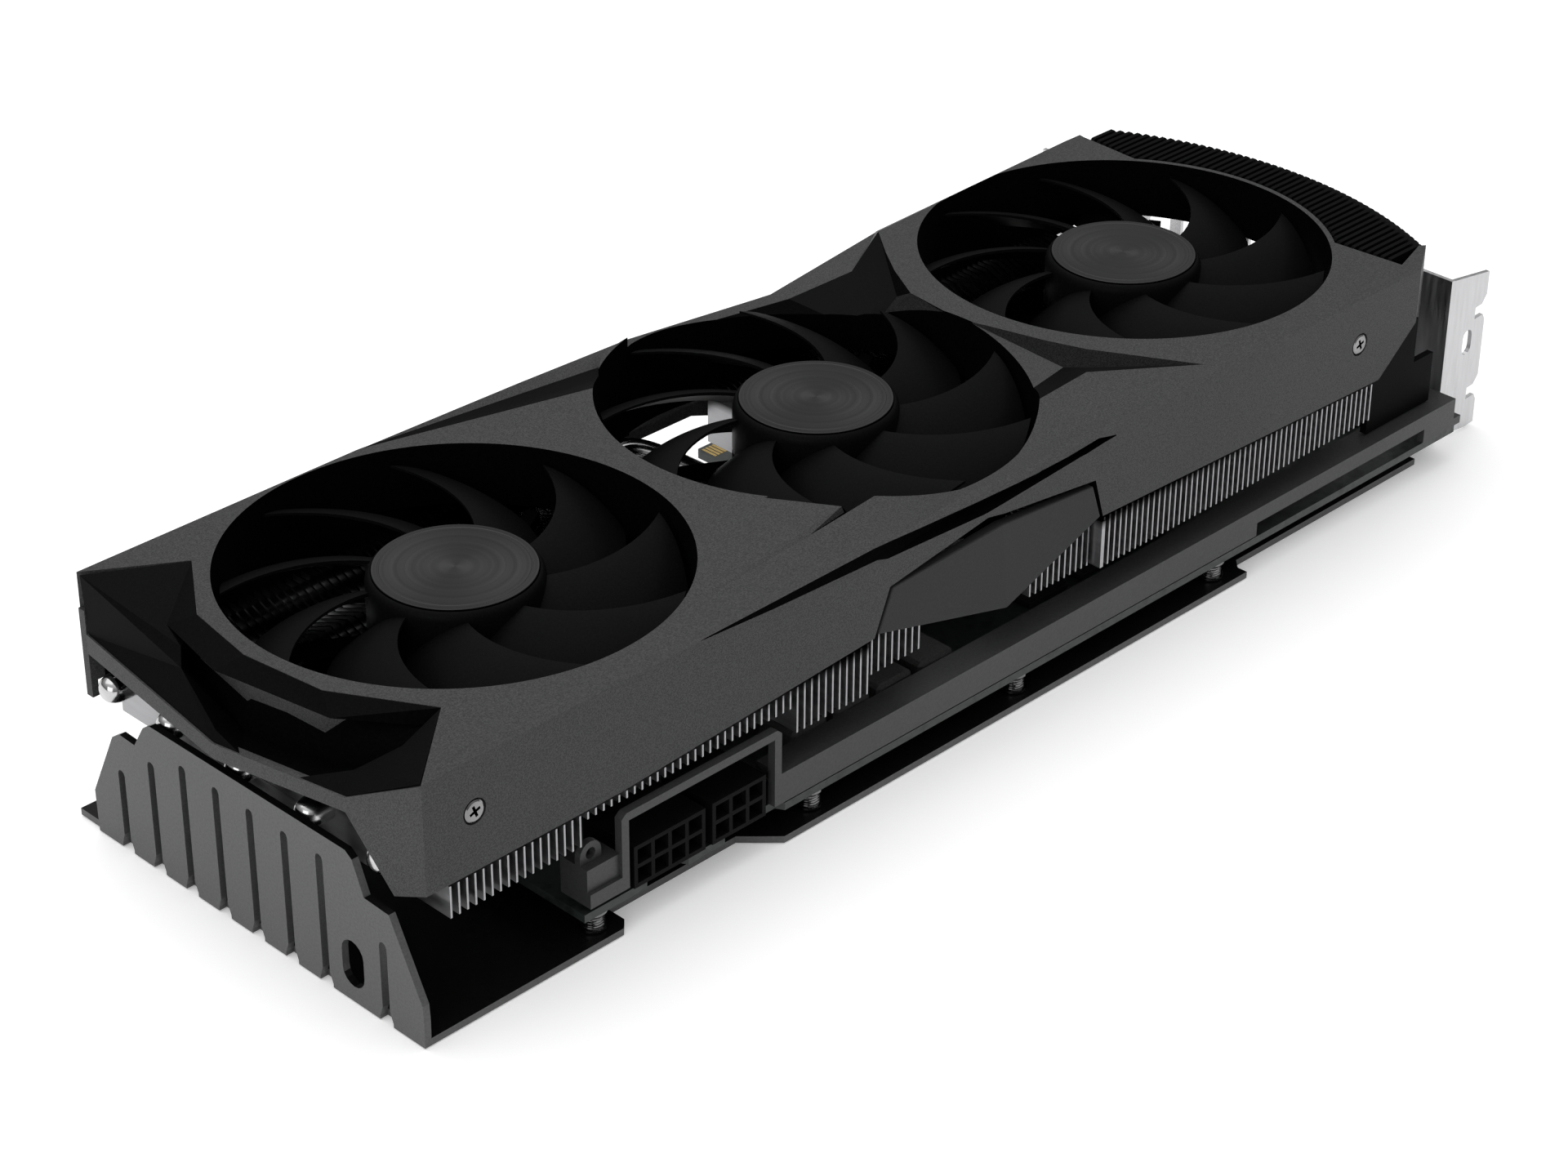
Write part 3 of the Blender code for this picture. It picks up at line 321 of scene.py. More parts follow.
def ramp(nodes, links, source, stops):
    node = nodes.new("ShaderNodeValToRGB")
    while len(node.color_ramp.elements) < len(stops):
        node.color_ramp.elements.new(0.5)
    for element, (place, value) in zip(node.color_ramp.elements, stops):
        element.position = place
        color = value if isinstance(value, tuple) else (value, value, value)
        element.color = (*color, 1.0)
    links.new(source, node.inputs["Fac"])
    return node.outputs["Color"]


def bump(nodes, links, shader, height, distance, strength=1.0):
    node = nodes.new("ShaderNodeBump")
    node.inputs["Distance"].default_value = distance * MM
    node.inputs["Strength"].default_value = strength
    links.new(height, node.inputs["Height"])
    links.new(node.outputs["Normal"], shader.inputs["Normal"])


def grained(name, dark, light, roughness, grain, relief, metallic=0.0, smudge=0.06):
    """A surface with a fine speckle, a faint relief, and roughness that drifts across it."""
    mat, nodes, links, shader = base_material(name, dark, roughness[0], metallic)
    fine = noise(nodes, links, grain, 3.0)
    color = ramp(nodes, links, fine, [(0.36, dark), (0.66, light)])
    broad = noise(nodes, links, 24.0, 4.0)
    tint = ramp(nodes, links, broad, [(0.3, 1.0 - smudge), (0.7, 1.0)])
    mix = nodes.new("ShaderNodeMix")
    mix.data_type = "RGBA"
    mix.blend_type = "MULTIPLY"
    mix.inputs["Factor"].default_value = 1.0
    links.new(color, mix.inputs["A"])
    links.new(tint, mix.inputs["B"])
    links.new(mix.outputs["Result"], shader.inputs["Base Color"])
    rough = ramp(nodes, links, broad, [(0.3, roughness[0]), (0.7, roughness[1])])
    links.new(rough, shader.inputs["Roughness"])
    bump(nodes, links, shader, fine, relief)
    return mat


def spun_metal(name):
    """The hub disc's metal, brushed in rings round its centre."""
    mat, nodes, links, shader = base_material(name, (0.075, 0.075, 0.077), 0.34, 1.0)
    shader.inputs["Anisotropic"].default_value = 0.75
    tangent = nodes.new("ShaderNodeTangent")
    tangent.direction_type = "RADIAL"
    tangent.axis = "Z"
    links.new(tangent.outputs["Tangent"], shader.inputs["Tangent"])
    length = nodes.new("ShaderNodeVectorMath")
    length.operation = "LENGTH"
    links.new(object_space(nodes), length.inputs[0])
    rings = nodes.new("ShaderNodeTexNoise")
    rings.noise_dimensions = "1D"
    rings.inputs["Scale"].default_value = 5200.0
    rings.inputs["Detail"].default_value = 4.0
    links.new(length.outputs["Value"], rings.inputs["W"])
    color = ramp(nodes, links, rings.outputs["Fac"], [(0.3, 0.034), (0.7, 0.05)])
    links.new(color, shader.inputs["Base Color"])
    rough = ramp(nodes, links, rings.outputs["Fac"], [(0.3, 0.3), (0.7, 0.42)])
    links.new(rough, shader.inputs["Roughness"])
    bump(nodes, links, shader, rings.outputs["Fac"], 0.003)
    return mat


def paint_shade_above(nodes, links, tone, height):
    """Dulls a colour over a few millimetres above a height: painted shade, near-black, for the fin tops that
    sit under the shroud.
    """
    split = nodes.new("ShaderNodeSeparateXYZ")
    links.new(object_space(nodes), split.inputs["Vector"])
    span = nodes.new("ShaderNodeMapRange")
    span.inputs["From Min"].default_value = height * MM
    span.inputs["From Max"].default_value = (height + 2.0) * MM
    links.new(split.outputs["Z"], span.inputs["Value"])
    mix = nodes.new("ShaderNodeMix")
    mix.data_type = "RGBA"
    links.new(span.outputs["Result"], mix.inputs["Factor"])
    links.new(tone, mix.inputs["A"])
    # The near-black that the painted shade fades to.
    mix.inputs["B"].default_value = (0.009, 0.009, 0.0092, 1.0)
    return mix.outputs["Result"]


def brushed_metal(name, color, roughness, stretch, shade_above=None):
    """Sheet metal with fine scratches along one direction."""
    dark = tuple(c * 0.82 for c in color)
    mat, nodes, links, shader = base_material(name, color, roughness, 1.0)
    lines = noise(nodes, links, 900.0, 3.0, stretch)
    tone = ramp(nodes, links, lines, [(0.3, dark), (0.7, color)])
    # Painted shade: the metal darkens above shade_above.
    if shade_above is not None:
        tone = paint_shade_above(nodes, links, tone, shade_above)
    links.new(tone, shader.inputs["Base Color"])
    rough = ramp(nodes, links, lines, [(0.3, roughness * 0.8), (0.7, roughness * 1.3)])
    links.new(rough, shader.inputs["Roughness"])
    bump(nodes, links, shader, lines, 0.008)
    return mat


def plated(name, dark, light):
    """Bright plating, a little cloudy."""
    mat, nodes, links, shader = base_material(name, (light, light, light), 0.12, 1.0)
    cloud = noise(nodes, links, 160.0, 4.0)
    links.new(ramp(nodes, links, cloud, [(0.3, dark), (0.7, light)]), shader.inputs["Base Color"])
    links.new(ramp(nodes, links, cloud, [(0.3, 0.1), (0.7, 0.26)]), shader.inputs["Roughness"])
    bump(nodes, links, shader, cloud, 0.02)
    return mat


def solder_mask(name):
    """The board's black mask with a faint pattern of traces under it."""
    mat, nodes, links, shader = base_material(name, (0.008, 0.011, 0.010), 0.34)
    cells = nodes.new("ShaderNodeTexVoronoi")
    cells.distance = "MANHATTAN"
    cells.inputs["Scale"].default_value = 260.0
    links.new(object_space(nodes), cells.inputs["Vector"])
    stops = [(0.35, (0.006, 0.009, 0.008)), (0.6, (0.018, 0.024, 0.021))]
    traces = ramp(nodes, links, cells.outputs["Distance"], stops)
    links.new(traces, shader.inputs["Base Color"])
    fine = noise(nodes, links, 700.0, 3.0)
    links.new(ramp(nodes, links, fine, [(0.3, 0.28), (0.7, 0.5)]), shader.inputs["Roughness"])
    bump(nodes, links, shader, cells.outputs["Distance"], 0.03)
    return mat


def make_materials():
    mats = {
        "shroud": grained(
            "speckled_charcoal", grey(0.026, 0.0265), grey(0.062, 0.063), (0.5, 0.58), 3600.0, 0.04,
        ),
        # Satin black for the parts that are black; on shroud facets it is painted shade, where they face away
        # from the light.
        "black": grained(
            "satin_black_and_painted_shade", grey(0.0028, 0.0029), grey(0.0042, 0.0043), (0.42, 0.5), 2600.0, 0.01,
        ),
        # Painted shade: a darker copy of the shroud's speckled charcoal, for the shroud's shaded scoops.
        "shade": grained(
            "speckled_painted_shade", grey(0.006, 0.0062), grey(0.018, 0.0185), (0.5, 0.58), 3600.0, 0.04,
        ),
        "badge": grained("badge_grey", grey(0.026, 0.027), grey(0.032, 0.033), (0.4, 0.48), 2600.0, 0.01),
        # Painted shade: near-black, put on hollows, openings, gaps, groove floors and recesses.
        "deep": grained("shadow_black", grey(0.0012), grey(0.002), (0.7, 0.8), 1500.0, 0.01),
        "fan": grained("fan_black", grey(0.0032, 0.0033), grey(0.0045, 0.0046), (0.4, 0.48), 2400.0, 0.008),
        "disc": spun_metal("spun_disc"),
        # The fins darken above 31 mm: painted shade under the shroud.
        "fins": brushed_metal("fin_aluminium", grey(0.4, 0.41), 0.36, (1.0, 0.15, 1.0), 31.0),
        "pipe": plated("plated_copper", 0.45, 0.62),
        "base": brushed_metal("milled_base", grey(0.5, 0.51), 0.3, (0.1, 1.0, 1.0)),
        "steel": brushed_metal("bracket_steel", grey(0.6, 0.61), 0.34, (1.0, 1.0, 0.12)),
        "screw": plated("screw_plate", 0.16, 0.28),
        "plate": grained(
            "grey_paint", grey(0.06, 0.0615), grey(0.08, 0.082), (0.42, 0.5), 2100.0, 0.02, 0.15,
        ),
        "film": grained("insulating_film", grey(0.003), grey(0.005), (0.25, 0.32), 1600.0, 0.01),
        "rail": grained(
            "dark_paint", grey(0.03, 0.031), grey(0.041, 0.042), (0.42, 0.5), 2100.0, 0.02, 0.15,
        ),
        "board": solder_mask("solder_mask"),
        "chip": grained("moulded_chip", grey(0.008, 0.0083), grey(0.014, 0.0143), (0.45, 0.6), 3000.0, 0.02),
        "choke": grained("pressed_ferrite", grey(0.02), grey(0.04, 0.039), (0.55, 0.7), 2600.0, 0.04),
        "socket": grained("socket_nylon", grey(0.003), grey(0.005), (0.38, 0.5), 2200.0, 0.02),
        "package": grained(
            "package_laminate", (0.008, 0.026, 0.018), (0.014, 0.04, 0.027), (0.3, 0.4), 1200.0, 0.01,
        ),
        "gold": grained(
            "contact_gold", (0.55, 0.38, 0.13), (0.64, 0.46, 0.18), (0.2, 0.3), 900.0, 0.005, 1.0,
        ),
        "tin": grained("soldered_tin", grey(0.3), grey(0.42), (0.3, 0.45), 1500.0, 0.02, 1.0),
        "ceramic": grained(
            "capacitor_ceramic", (0.1, 0.06, 0.035), (0.15, 0.1, 0.06), (0.4, 0.5), 2000.0, 0.01,
        ),
    }
    sheens = {
        "black": 0.02, "deep": 0.01, "fan": 0.025, "socket": 0.04, "chip": 0.1, "shroud": 0.2, "film": 0.1,
        "shade": 0.03, "badge": 0.1,
    }
    for key, level in sheens.items():
        shader = mats[key].node_tree.nodes["Principled BSDF"]
        shader.inputs["Specular IOR Level"].default_value = level
    return mats


# ---------------- shroud

TAIL_TOP = [
    (-149.0, FAR_Y), (-131.3, 34.0), (-142.4, 18.0), (-145.0, 1.0), (-142.6, -18.0), (-131.5, -36.9),
    (-149.9, NEAR_Y),
]
FACE_NEAR = (132.6, NEAR_Y)
FACE_NEAR_CORNER = (143.4, -46.4)
CAP_NEAR_INNER = (131.6, -48.6)
CAP_FAR_INNER = (134.3, 44.2)
FACE_FAR = (134.6, FAR_Y)
BADGE = [(-33.4, 43.4), (-37.2, 34.6), (-0.6, 25.2), (27.6, 34.4), (24.8, 42.4), (-3.0, 45.0)]


def shroud_body(mats):
    outline = [
        *TAIL_TOP, FACE_NEAR, FACE_NEAR_CORNER, (142.2, -45.4), CAP_NEAR_INNER,
        *arc((FAN_PITCH, 0.0), RING_RADIUS, -43.0, 37.0, 36), CAP_FAR_INNER, FACE_FAR,
    ]
    return prism("shroud_shell", outline, SKIRT_Z, TOP_Z, mats=(mats["shroud"], mats["deep"]))


def shroud_hollow(mats):
    outline = [
        (-146.6, FAR_Y - WALL), (-129.5, 35.0), (-138.0, 24.0), (-138.0, -24.0), (-129.5, -38.0),
        (-145.0, NEAR_Y + WALL), (129.5, NEAR_Y + WALL), (128.4, -33.0), (128.4, -31.0), (150.0, -27.0),
        (150.0, 22.0), (129.0, 27.6), (132.0, FAR_Y - WALL),
    ]
    hollow = prism("hollow", outline, SKIRT_Z - 6, TOP_Z - 7.5, mats=(mats["deep"],))
    rings = [prism("ring", circle(RING_RADIUS, (x, 0.0)), RING_BOTTOM_Z, TOP_Z + 4, mats=(mats["deep"],))
             for x in FAN_X]
    return cut(hollow, *rings)


def openings(mats):
    deep = (mats["deep"],)
    return [prism("opening", circle(OPENING_RADIUS, (x, 0.0)), 20.0, TOP_Z + 8, mats=deep) for x in FAN_X]


HIGH = TOP_Z + 0.02
RING_STRIP = {  # edge of the flat strip round the bracket-end fan, from the far side to the near one
    "strip_0": (63.2, 42.4, HIGH), "strip_1": (56.6, 33.9, HIGH), "strip_2": (51.4, 26.4, HIGH),
    "strip_3": (45.9, 16.6, HIGH), "strip_5": (46.3, -6.2, HIGH),
    "strip_6": (49.6, -18.3, HIGH), "strip_7": (52.6, -26.6, HIGH), "tip": (64.7, -48.5, HIGH),
}


def back_facets(mats):
    """Behind the middle fan the far edge sinks: a slope and a thin rim, then a faceted notch. The slope and
    the notch carry painted shade, in black, near-black and darker charcoal.
    """
    back = FAR_Y + 0.2
    corners = {
        "start": (-83.0, back, HIGH), "inner": (-31.4, 32.0, HIGH), "turn": (-19.7, 42.2, 50.5),
        "rim_low": (-10.0, 43.9, 51.4), "rim_a": (-41.0, back, 52.8), "rim_b": (-10.0, back, 51.9),
        "low": (34.9, 42.0, 47.0), "middle": (50.9, 38.6, 49.3), "root": (45.5, 20.2, 51.5),
        "ring_1": (39.8, 19.4, 48.9), "ring_2": (37.2, 23.8, 48.1), "ring_3": (33.4, 28.9, 48.0),
        "back_0": (32.8, back, 47.6), "back_1": (66.0, back, 51.5), "back_2": (134.0, back, HIGH),
        "pass": (44.3, 3.0, 53.0),
        **{key: RING_STRIP[key] for key in ("strip_0", "strip_1", "strip_2", "strip_3")},
    }
    facets = [
        # Painted shade: the black, deep and shade facets are shroud top darkened where it faces away from the
        # light or lies low.
        ("black", ("start", "inner", "turn")),
        ("shroud", ("start", "turn", "rim_low", "rim_b", "rim_a")),
        ("shroud", ("rim_low", "low", "back_0", "rim_b")),
        ("deep", ("rim_low", "ring_3", "low")),
        ("shroud", ("back_0", "low", "middle", "strip_0", "back_1")),
        ("shroud", ("strip_0", "back_2", "back_1")),
        ("black", ("low", "ring_3", "middle")),
        ("black", ("ring_3", "ring_2", "middle")),
        ("black", ("ring_2", "root", "middle")),
        ("black", ("ring_2", "ring_1", "root")),
        ("black", ("middle", "root", "strip_0")),
        ("deep", ("root", "strip_3", "strip_2", "strip_1", "strip_0")),
        ("shade", ("ring_1", "pass", "strip_3", "root")),
    ]
    return facet_cutter("back_facets", corners, facets, mats)


def near_valley(mats):
    """The valley between the last two fans on the near side: a floor, a step and a scoop, with painted shade
    on the step (black) and on the scoop (darker charcoal).
    """
    corners = {
        **{key: RING_STRIP[key] for key in ("strip_5", "strip_6", "strip_7", "tip")},
        "head": (45.0, -1.7, 53.2), "edge": (36.1, -26.6, 50.4), "floor": (47.4, -25.0, 50.5),
        "step_1": (28.7, -34.5, HIGH), "step_2": (44.5, -33.5, HIGH), "step_3": (46.8, -31.8, 53.2),
    }
    facets = [
        ("shroud", ("head", "edge", "floor")),
        # Painted shade: the step in black and the scoop in the shade finish.
        ("black", ("edge", "step_1", "step_2", "step_3", "floor")),
        ("black", ("step_2", "tip", "step_3")),
        ("shade", ("floor", "step_3", "tip")),
        ("shade", ("floor", "tip", "strip_7")),
        ("shade", ("floor", "strip_7", "strip_6")),
        ("shade", ("floor", "strip_6", "strip_5")),
        ("shade", ("head", "floor", "strip_5")),
    ]
    return facet_cutter("near_valley", corners, facets, mats)


def near_band(mats):
    """The band along the near edge, which dips beside the middle fan."""
    corners = {
        "ring_1": (-23.0, -38.4, HIGH), "ring_2": (-5.7, -44.4, 50.5), "ring_3": (12.0, -42.8, 50.6),
        "ring_4": (28.7, -34.5, HIGH), "low_1": (-39.1, -52.4, HIGH), "low_2": (-10.9, -50.1, 50.5),
        "low_3": (10.0, -51.2, 50.5), "low_4": (25.7, -49.8, 50.5), "low_5": (60.0, -52.9, HIGH),
    }
    facets = [
        ("shroud", ("ring_1", "low_1", "low_2", "ring_2")),
        ("shroud", ("ring_2", "low_2", "low_3", "ring_3")),
        ("shroud", ("ring_3", "low_3", "low_4")),
        ("shroud", ("ring_3", "low_4", "ring_4")),
        ("shroud", ("ring_4", "low_4", "low_5")),
    ]
    return facet_cutter("near_band", corners, facets, mats)


def tongue_cut(mats):
    """The narrow cut that frees the tongue of top face between the first two fans."""
    corners = {
        "start": (-89.0, -43.9, HIGH), "tip": (-30.9, -36.8, HIGH), "tip_low": (-30.6, -37.2, 52.2),
        "bend": (-42.0, -39.5, 53.0), "deep": (-27.0, -37.8, 48.2), "corner": (-23.0, -38.4, HIGH),
        "line": (-42.3, -40.2, HIGH), "ring": (-38.9, -24.2, HIGH), "well_1": (-36.0, -24.0, 48.2),
        "well_2": (-22.0, -37.4, 48.2),
    }
    facets = [
        ("shroud", ("start", "bend", "tip_low", "tip")),
        ("shroud", ("start", "line", "bend")),
        # Painted shade: the deep facets are the cut's walls and floor in near-black.
        ("deep", ("bend", "line", "corner", "deep")),
        ("deep", ("bend", "deep", "tip_low")),
        ("deep", ("tip", "tip_low", "deep", "well_1", "ring")),
        ("deep", ("deep", "corner", "well_2")),
        ("deep", ("deep", "well_2", "well_1")),
    ]
    return facet_cutter("tongue_cut", corners, facets, mats)


def edge_groove(mats):
    """The long groove between the band and the near wall, tapered at both ends, painted near-black as shade.
    """
    stations = [  # upper edge, then lower edge
        ((-84.0, -52.8, 53.6), (-86.0, -53.3, 53.4)), ((-39.1, -52.2, 53.6), (-37.6, -53.3, 50.4)),
        ((-10.9, -49.9, 50.7), (-7.6, -53.3, 48.9)), ((10.0, -51.0, 50.7), (11.3, -53.3, 50.1)),
        ((25.7, -49.5, 50.8), (21.9, -53.3, 50.8)), ((31.0, -52.8, 51.6), (31.5, -53.3, 51.3)),
    ]
    bm = bmesh.new()
    rings = []
    for (x0, y0, z0), (x1, y1, z1) in stations:
        section = ((x0, y0, z0), (x1, y1, z1), (x1, -58.0, z1 + 1.0), (x0, -56.0, z0 + 4.0))
        rings.append([bm.verts.new(place) for place in section])
    loft(bm, rings)
    bmesh.ops.triangulate(bm, faces=bm.faces[:])
    return new_object("edge_groove", bm, (mats["deep"],))


def badge_gap(mats):
    """The shadow gap round the badge plate, wider above it."""
    gap = [
        (-34.3, 43.9), (-38.2, 34.4), (-37.9, 31.0), (-0.6, 21.0), (28.3, 31.0), (28.4, 34.2),
        (25.5, 43.5), (-1.8, 46.9), (-6.7, 47.9),
    ]
    return prism("badge_gap", gap, NEAR_Y - 3, NEAR_Y + 3.4, "y", (mats["deep"],))


def skirt_cutters(mats):
    low = SKIRT_Z - 12
    near = [
        (NEAR_SKIRT[0][0], low), *NEAR_SKIRT, (137.0, 44.4), (146.0, 44.4), (146.0, low),
    ]
    far = [(36.0, low), (36.0, SKIRT_Z - 1.0), (46.0, 34.0), (120.0, 31.0), (146.0, 33.0), (146.0, low)]
    return [
        prism("near_skirt", near, NEAR_Y - 3, NEAR_Y + 6.0, "y", (mats["shroud"],)),
        prism("far_skirt", far, FAR_Y - 5.0, FAR_Y + 3, "y", (mats["shroud"],)),
    ]


def far_apron(mats):
    """The far wall's lower edge between the two fin stacks, which hangs lower than the rest."""
    outline = [
        (-104.0, 31.0), (-104.0, 30.3), (-50.0, 28.5), (7.0, 28.2), (22.0, 23.0), (36.0, 29.4), (36.0, 31.0),
    ]
    return prism("far_apron", outline, FAR_Y - WALL, FAR_Y, "y", (mats["shroud"],))


def tail_lip(mats):
    """The charcoal band that closes the tail under the black insert, down to the near corner."""
    corners = [
        (-149.6, 43.6, 36.9), (-154.4, -0.3, 36.2), (-152.7, -35.4, 40.9), (-151.0, -45.5, 27.4),
        (-149.9, NEAR_Y, SKIRT_Z), (-149.9, NEAR_Y, TOP_Z - 0.3), (-152.7, -35.6, 44.0),
        (-154.4, -0.3, 39.5), (-149.6, 43.6, 41.1),
    ]
    faces = [(0, 1, 7, 8), (1, 2, 6, 7), (2, 3, 4), (2, 4, 5, 6)]
    bm = bmesh.new()
    outer = [bm.verts.new(c) for c in corners]
    inner = [bm.verts.new((c[0] + WALL, c[1] + (0.6 if c[1] < -50 else 0.0), c[2])) for c in corners]
    for face in faces:
        bm.faces.new([outer[i] for i in face])
        bm.faces.new([inner[i] for i in reversed(face)])
    for i in range(len(corners)):
        j = (i + 1) % len(corners)
        bm.faces.new((outer[i], inner[i], inner[j], outer[j]))
    bmesh.ops.triangulate(bm, faces=bm.faces[:])
    return new_object("lip", bm, (mats["shroud"],))


def corner_posts(mats):
    near = prism("near_post", [(-149.88, NEAR_Y), (-142.0, NEAR_Y), (-142.0, -51.0), (-148.1, -51.0)],
                 SKIRT_Z, TOP_Z - 3.0, mats=(mats["shroud"],))
    leg = [
        (-149.4, 27.0), (-147.9, 27.0), (-147.9, SKIRT_Z), (-138.0, SKIRT_Z), (-138.0, 46.0), (-149.4, 46.0),
    ]
    far = prism("far_post", leg, FAR_Y - WALL, FAR_Y, "y", (mats["shroud"],))
    return [near, far]


def make_shroud(mats):
    body = shroud_body(mats)
    # Painted shade: the hollow, the tail clearance and the openings leave their walls near-black.
    clearance = prism("tail_clearance", rectangle(-156.0, -128.0, NEAR_Y + WALL, FAR_Y - WALL), 20.0, 37.2,
                      mats=(mats["deep"],))
    cut(body, shroud_hollow(mats), clearance)
    cut(body, *openings(mats))
    cut(body, back_facets(mats), near_valley(mats), near_band(mats), tongue_cut(mats))
    cut(body, *skirt_cutters(mats), edge_groove(mats), badge_gap(mats))
    join(body, *corner_posts(mats), tail_lip(mats), far_apron(mats))
    for x in SCREW_X:
        seat = circle(2.6, (x, SCREW_Z), 40)
        cut(body, prism("seat", seat, NEAR_Y - 3, NEAR_Y + 0.9, "y", (mats["shroud"],)))
    soften(body, 0.3, 2, 20.0)
    shade(body, 28.0)
    return piece(body, "card", "shroud", "shroud")


# ---------------- tail insert, end cap, badge


def make_tail_insert(mats):
    """Black facets round the tail-end fan, over a deep scoop painted near-black as shade."""
    points = {
        "far": (-149.1, 44.4, 53.3), "top_1": (-131.4, 33.9, 53.4), "top_2": (-142.5, 18.0, 53.4),
        "top_3": (-145.1, 1.0, 53.4), "top_4": (-142.7, -18.0, 53.4), "top_5": (-131.6, -36.9, 53.4),
        "low_1": (-145.2, 23.6, 50.0), "low_2": (-148.8, 5.0, 50.0), "low_3": (-144.2, -21.7, 50.0),
        "edge_1": (-146.9, 17.4, 48.8), "edge_2": (-148.6, 15.4, 45.8), "edge_3": (-152.6, 0.6, 41.0),
        "edge_4": (-153.7, -7.6, 40.4), "edge_5": (-152.9, -23.2, 42.4), "edge_6": (-148.6, -33.4, 46.8),
        "edge_7": (-141.4, -38.0, 50.6),
        "lip_far": (-149.3, 43.0, 41.1), "lip_mid": (-154.0, -0.3, 39.6), "lip_near": (-152.3, -35.6, 44.1),
        "corner": (-149.6, NEAR_Y + 0.6, 53.3),
        "wall_1": (-140.4, 21.0, 49.0), "wall_2": (-143.6, 0.0, 48.6), "wall_3": (-140.2, -21.0, 49.0),
        "wall_4": (-133.4, -36.0, 50.0),
        "deep_1": (-143.0, 20.0, 41.0), "deep_2": (-146.8, 0.0, 38.4), "deep_3": (-144.0, -22.0, 40.0),
        "deep_4": (-139.0, -36.0, 44.0),
    }
    black = [
        ("far", "top_1", "low_1"), ("top_1", "top_2", "low_1"), ("top_2", "top_3", "low_2", "low_1"),
        ("top_3", "top_4", "low_3", "low_2"), ("top_4", "top_5", "low_3"),
        ("far", "low_1", "edge_1", "edge_2"), ("far", "edge_2", "lip_far"),
        ("edge_2", "edge_3", "lip_mid", "lip_far"), ("edge_3", "edge_4", "lip_mid"),
        ("edge_5", "edge_6", "lip_near"), ("edge_6", "edge_7", "corner", "lip_near"),
        ("edge_7", "top_5", "corner"),
    ]
    deep = [
        ("low_1", "low_2", "wall_2", "wall_1"), ("low_2", "low_3", "wall_3", "wall_2"),
        ("low_3", "top_5", "wall_4", "wall_3"),
        ("wall_1", "wall_2", "deep_2", "deep_1"), ("wall_2", "wall_3", "deep_3", "deep_2"),
        ("wall_3", "wall_4", "deep_4", "deep_3"),
        ("edge_1", "low_1", "wall_1"), ("edge_1", "wall_1", "deep_1", "edge_2"),
        ("edge_2", "deep_1", "deep_2", "edge_3"), ("edge_3", "deep_2", "edge_4"),
        ("edge_4", "deep_2", "deep_3", "edge_5"), ("edge_5", "deep_3", "deep_4", "edge_6"),
        ("edge_6", "deep_4", "edge_7"), ("edge_7", "deep_4", "wall_4", "top_5"),
    ]
    bm = bmesh.new()
    verts = {key: bm.verts.new(place) for key, place in points.items()}
    for group, index in ((black, 0), (deep, 1)):
        for face in group:
            made = bm.faces.new([verts[key] for key in face])
            made.material_index = index
    obj = new_object("tail_facets", bm, (mats["black"], mats["deep"]))
    if obj.data.polygons[0].normal.z < 0:
        obj.data.flip_normals()
    skin = obj.modifiers.new("thickness", "SOLIDIFY")
    skin.thickness = 0.5 * MM
    skin.offset = -1.0
    return piece(obj, "card", "black", "tail_insert")


def cap_reach(y):
    """How far along X a rib of the end cap goes at this y: its inner and outer ends."""
    outer = CAP_ARC_CENTER[0] + math.sqrt(CAP_ARC_RADIUS ** 2 - (y - CAP_ARC_CENTER[1]) ** 2)
    ring = RING_RADIUS + 0.4
    if -31.0 < y < 27.5:
        inner = FAN_PITCH + math.sqrt(ring ** 2 - y ** 2)
    elif y > 0:
        inner = 133.4 + (y - 27.5) * 0.11
    else:
        inner = 130.8 + (-31.0 - y) * 0.08
    return inner, outer


def make_end_cap(mats):
    """The ribbed cap: fine bars along X over the top and down its bowed outer wall."""
    bm = bmesh.new()
    low_y, high_y = -45.4, 43.2
    steps = 36
    rows = [low_y + (high_y - low_y) * i / steps for i in range(steps + 1)]
    plan = [(cap_reach(y)[1] - 1.0, y) for y in rows]
    plan += [(cap_reach(y)[0] + 0.3, y) for y in reversed(rows)]
    add_prism(bm, plan, CAP_LOW_Z, TOP_Z - 1.2)
    rib_pitch = 1.85
    count = int((high_y - low_y) / rib_pitch)
    for i in range(count + 1):
        y = low_y + 0.6 + i * rib_pitch
        inner, outer = cap_reach(y)
        profile = [
            (inner, TOP_Z - 1.6), (inner, TOP_Z - 0.6), (inner + 0.6, TOP_Z - 0.1),
            (outer - 1.0, TOP_Z - 0.1), (outer, TOP_Z - 1.0), (outer, CAP_LOW_Z),
            (outer - 1.4, CAP_LOW_Z), (outer - 1.4, TOP_Z - 1.6),
        ]
        add_prism(bm, profile, y - 0.5, y + 0.5, "y")
    obj = new_object("ribbed_cap", bm, (mats["black"],))
    return piece(obj, "card", "black", "end_cap")


def make_badge(mats):
    """The plain plate in the near side, folded slightly along its middle."""
    bm = bmesh.new()
    fold_y = NEAR_Y - 0.5
    front_y = (NEAR_Y, NEAR_Y, fold_y, NEAR_Y, NEAR_Y, fold_y)
    front = [bm.verts.new((x, front_y[i], z)) for i, (x, z) in enumerate(BADGE)]
    back = [bm.verts.new((x, -51.2, z)) for x, z in BADGE]
    bm.faces.new((front[0], front[1], front[2], front[5]))
    bm.faces.new((front[5], front[2], front[3], front[4]))
    bm.faces.new(back[::-1])
    for i in range(len(BADGE)):
        j = (i + 1) % len(BADGE)
        bm.faces.new((front[i], front[j], back[j], back[i]))
    obj = new_object("badge_plate", bm, (mats["badge"],))
    soften(obj, 0.25, 2, 20.0)
    return piece(obj, "card", "black", "side_badge")


# ---------------- fans


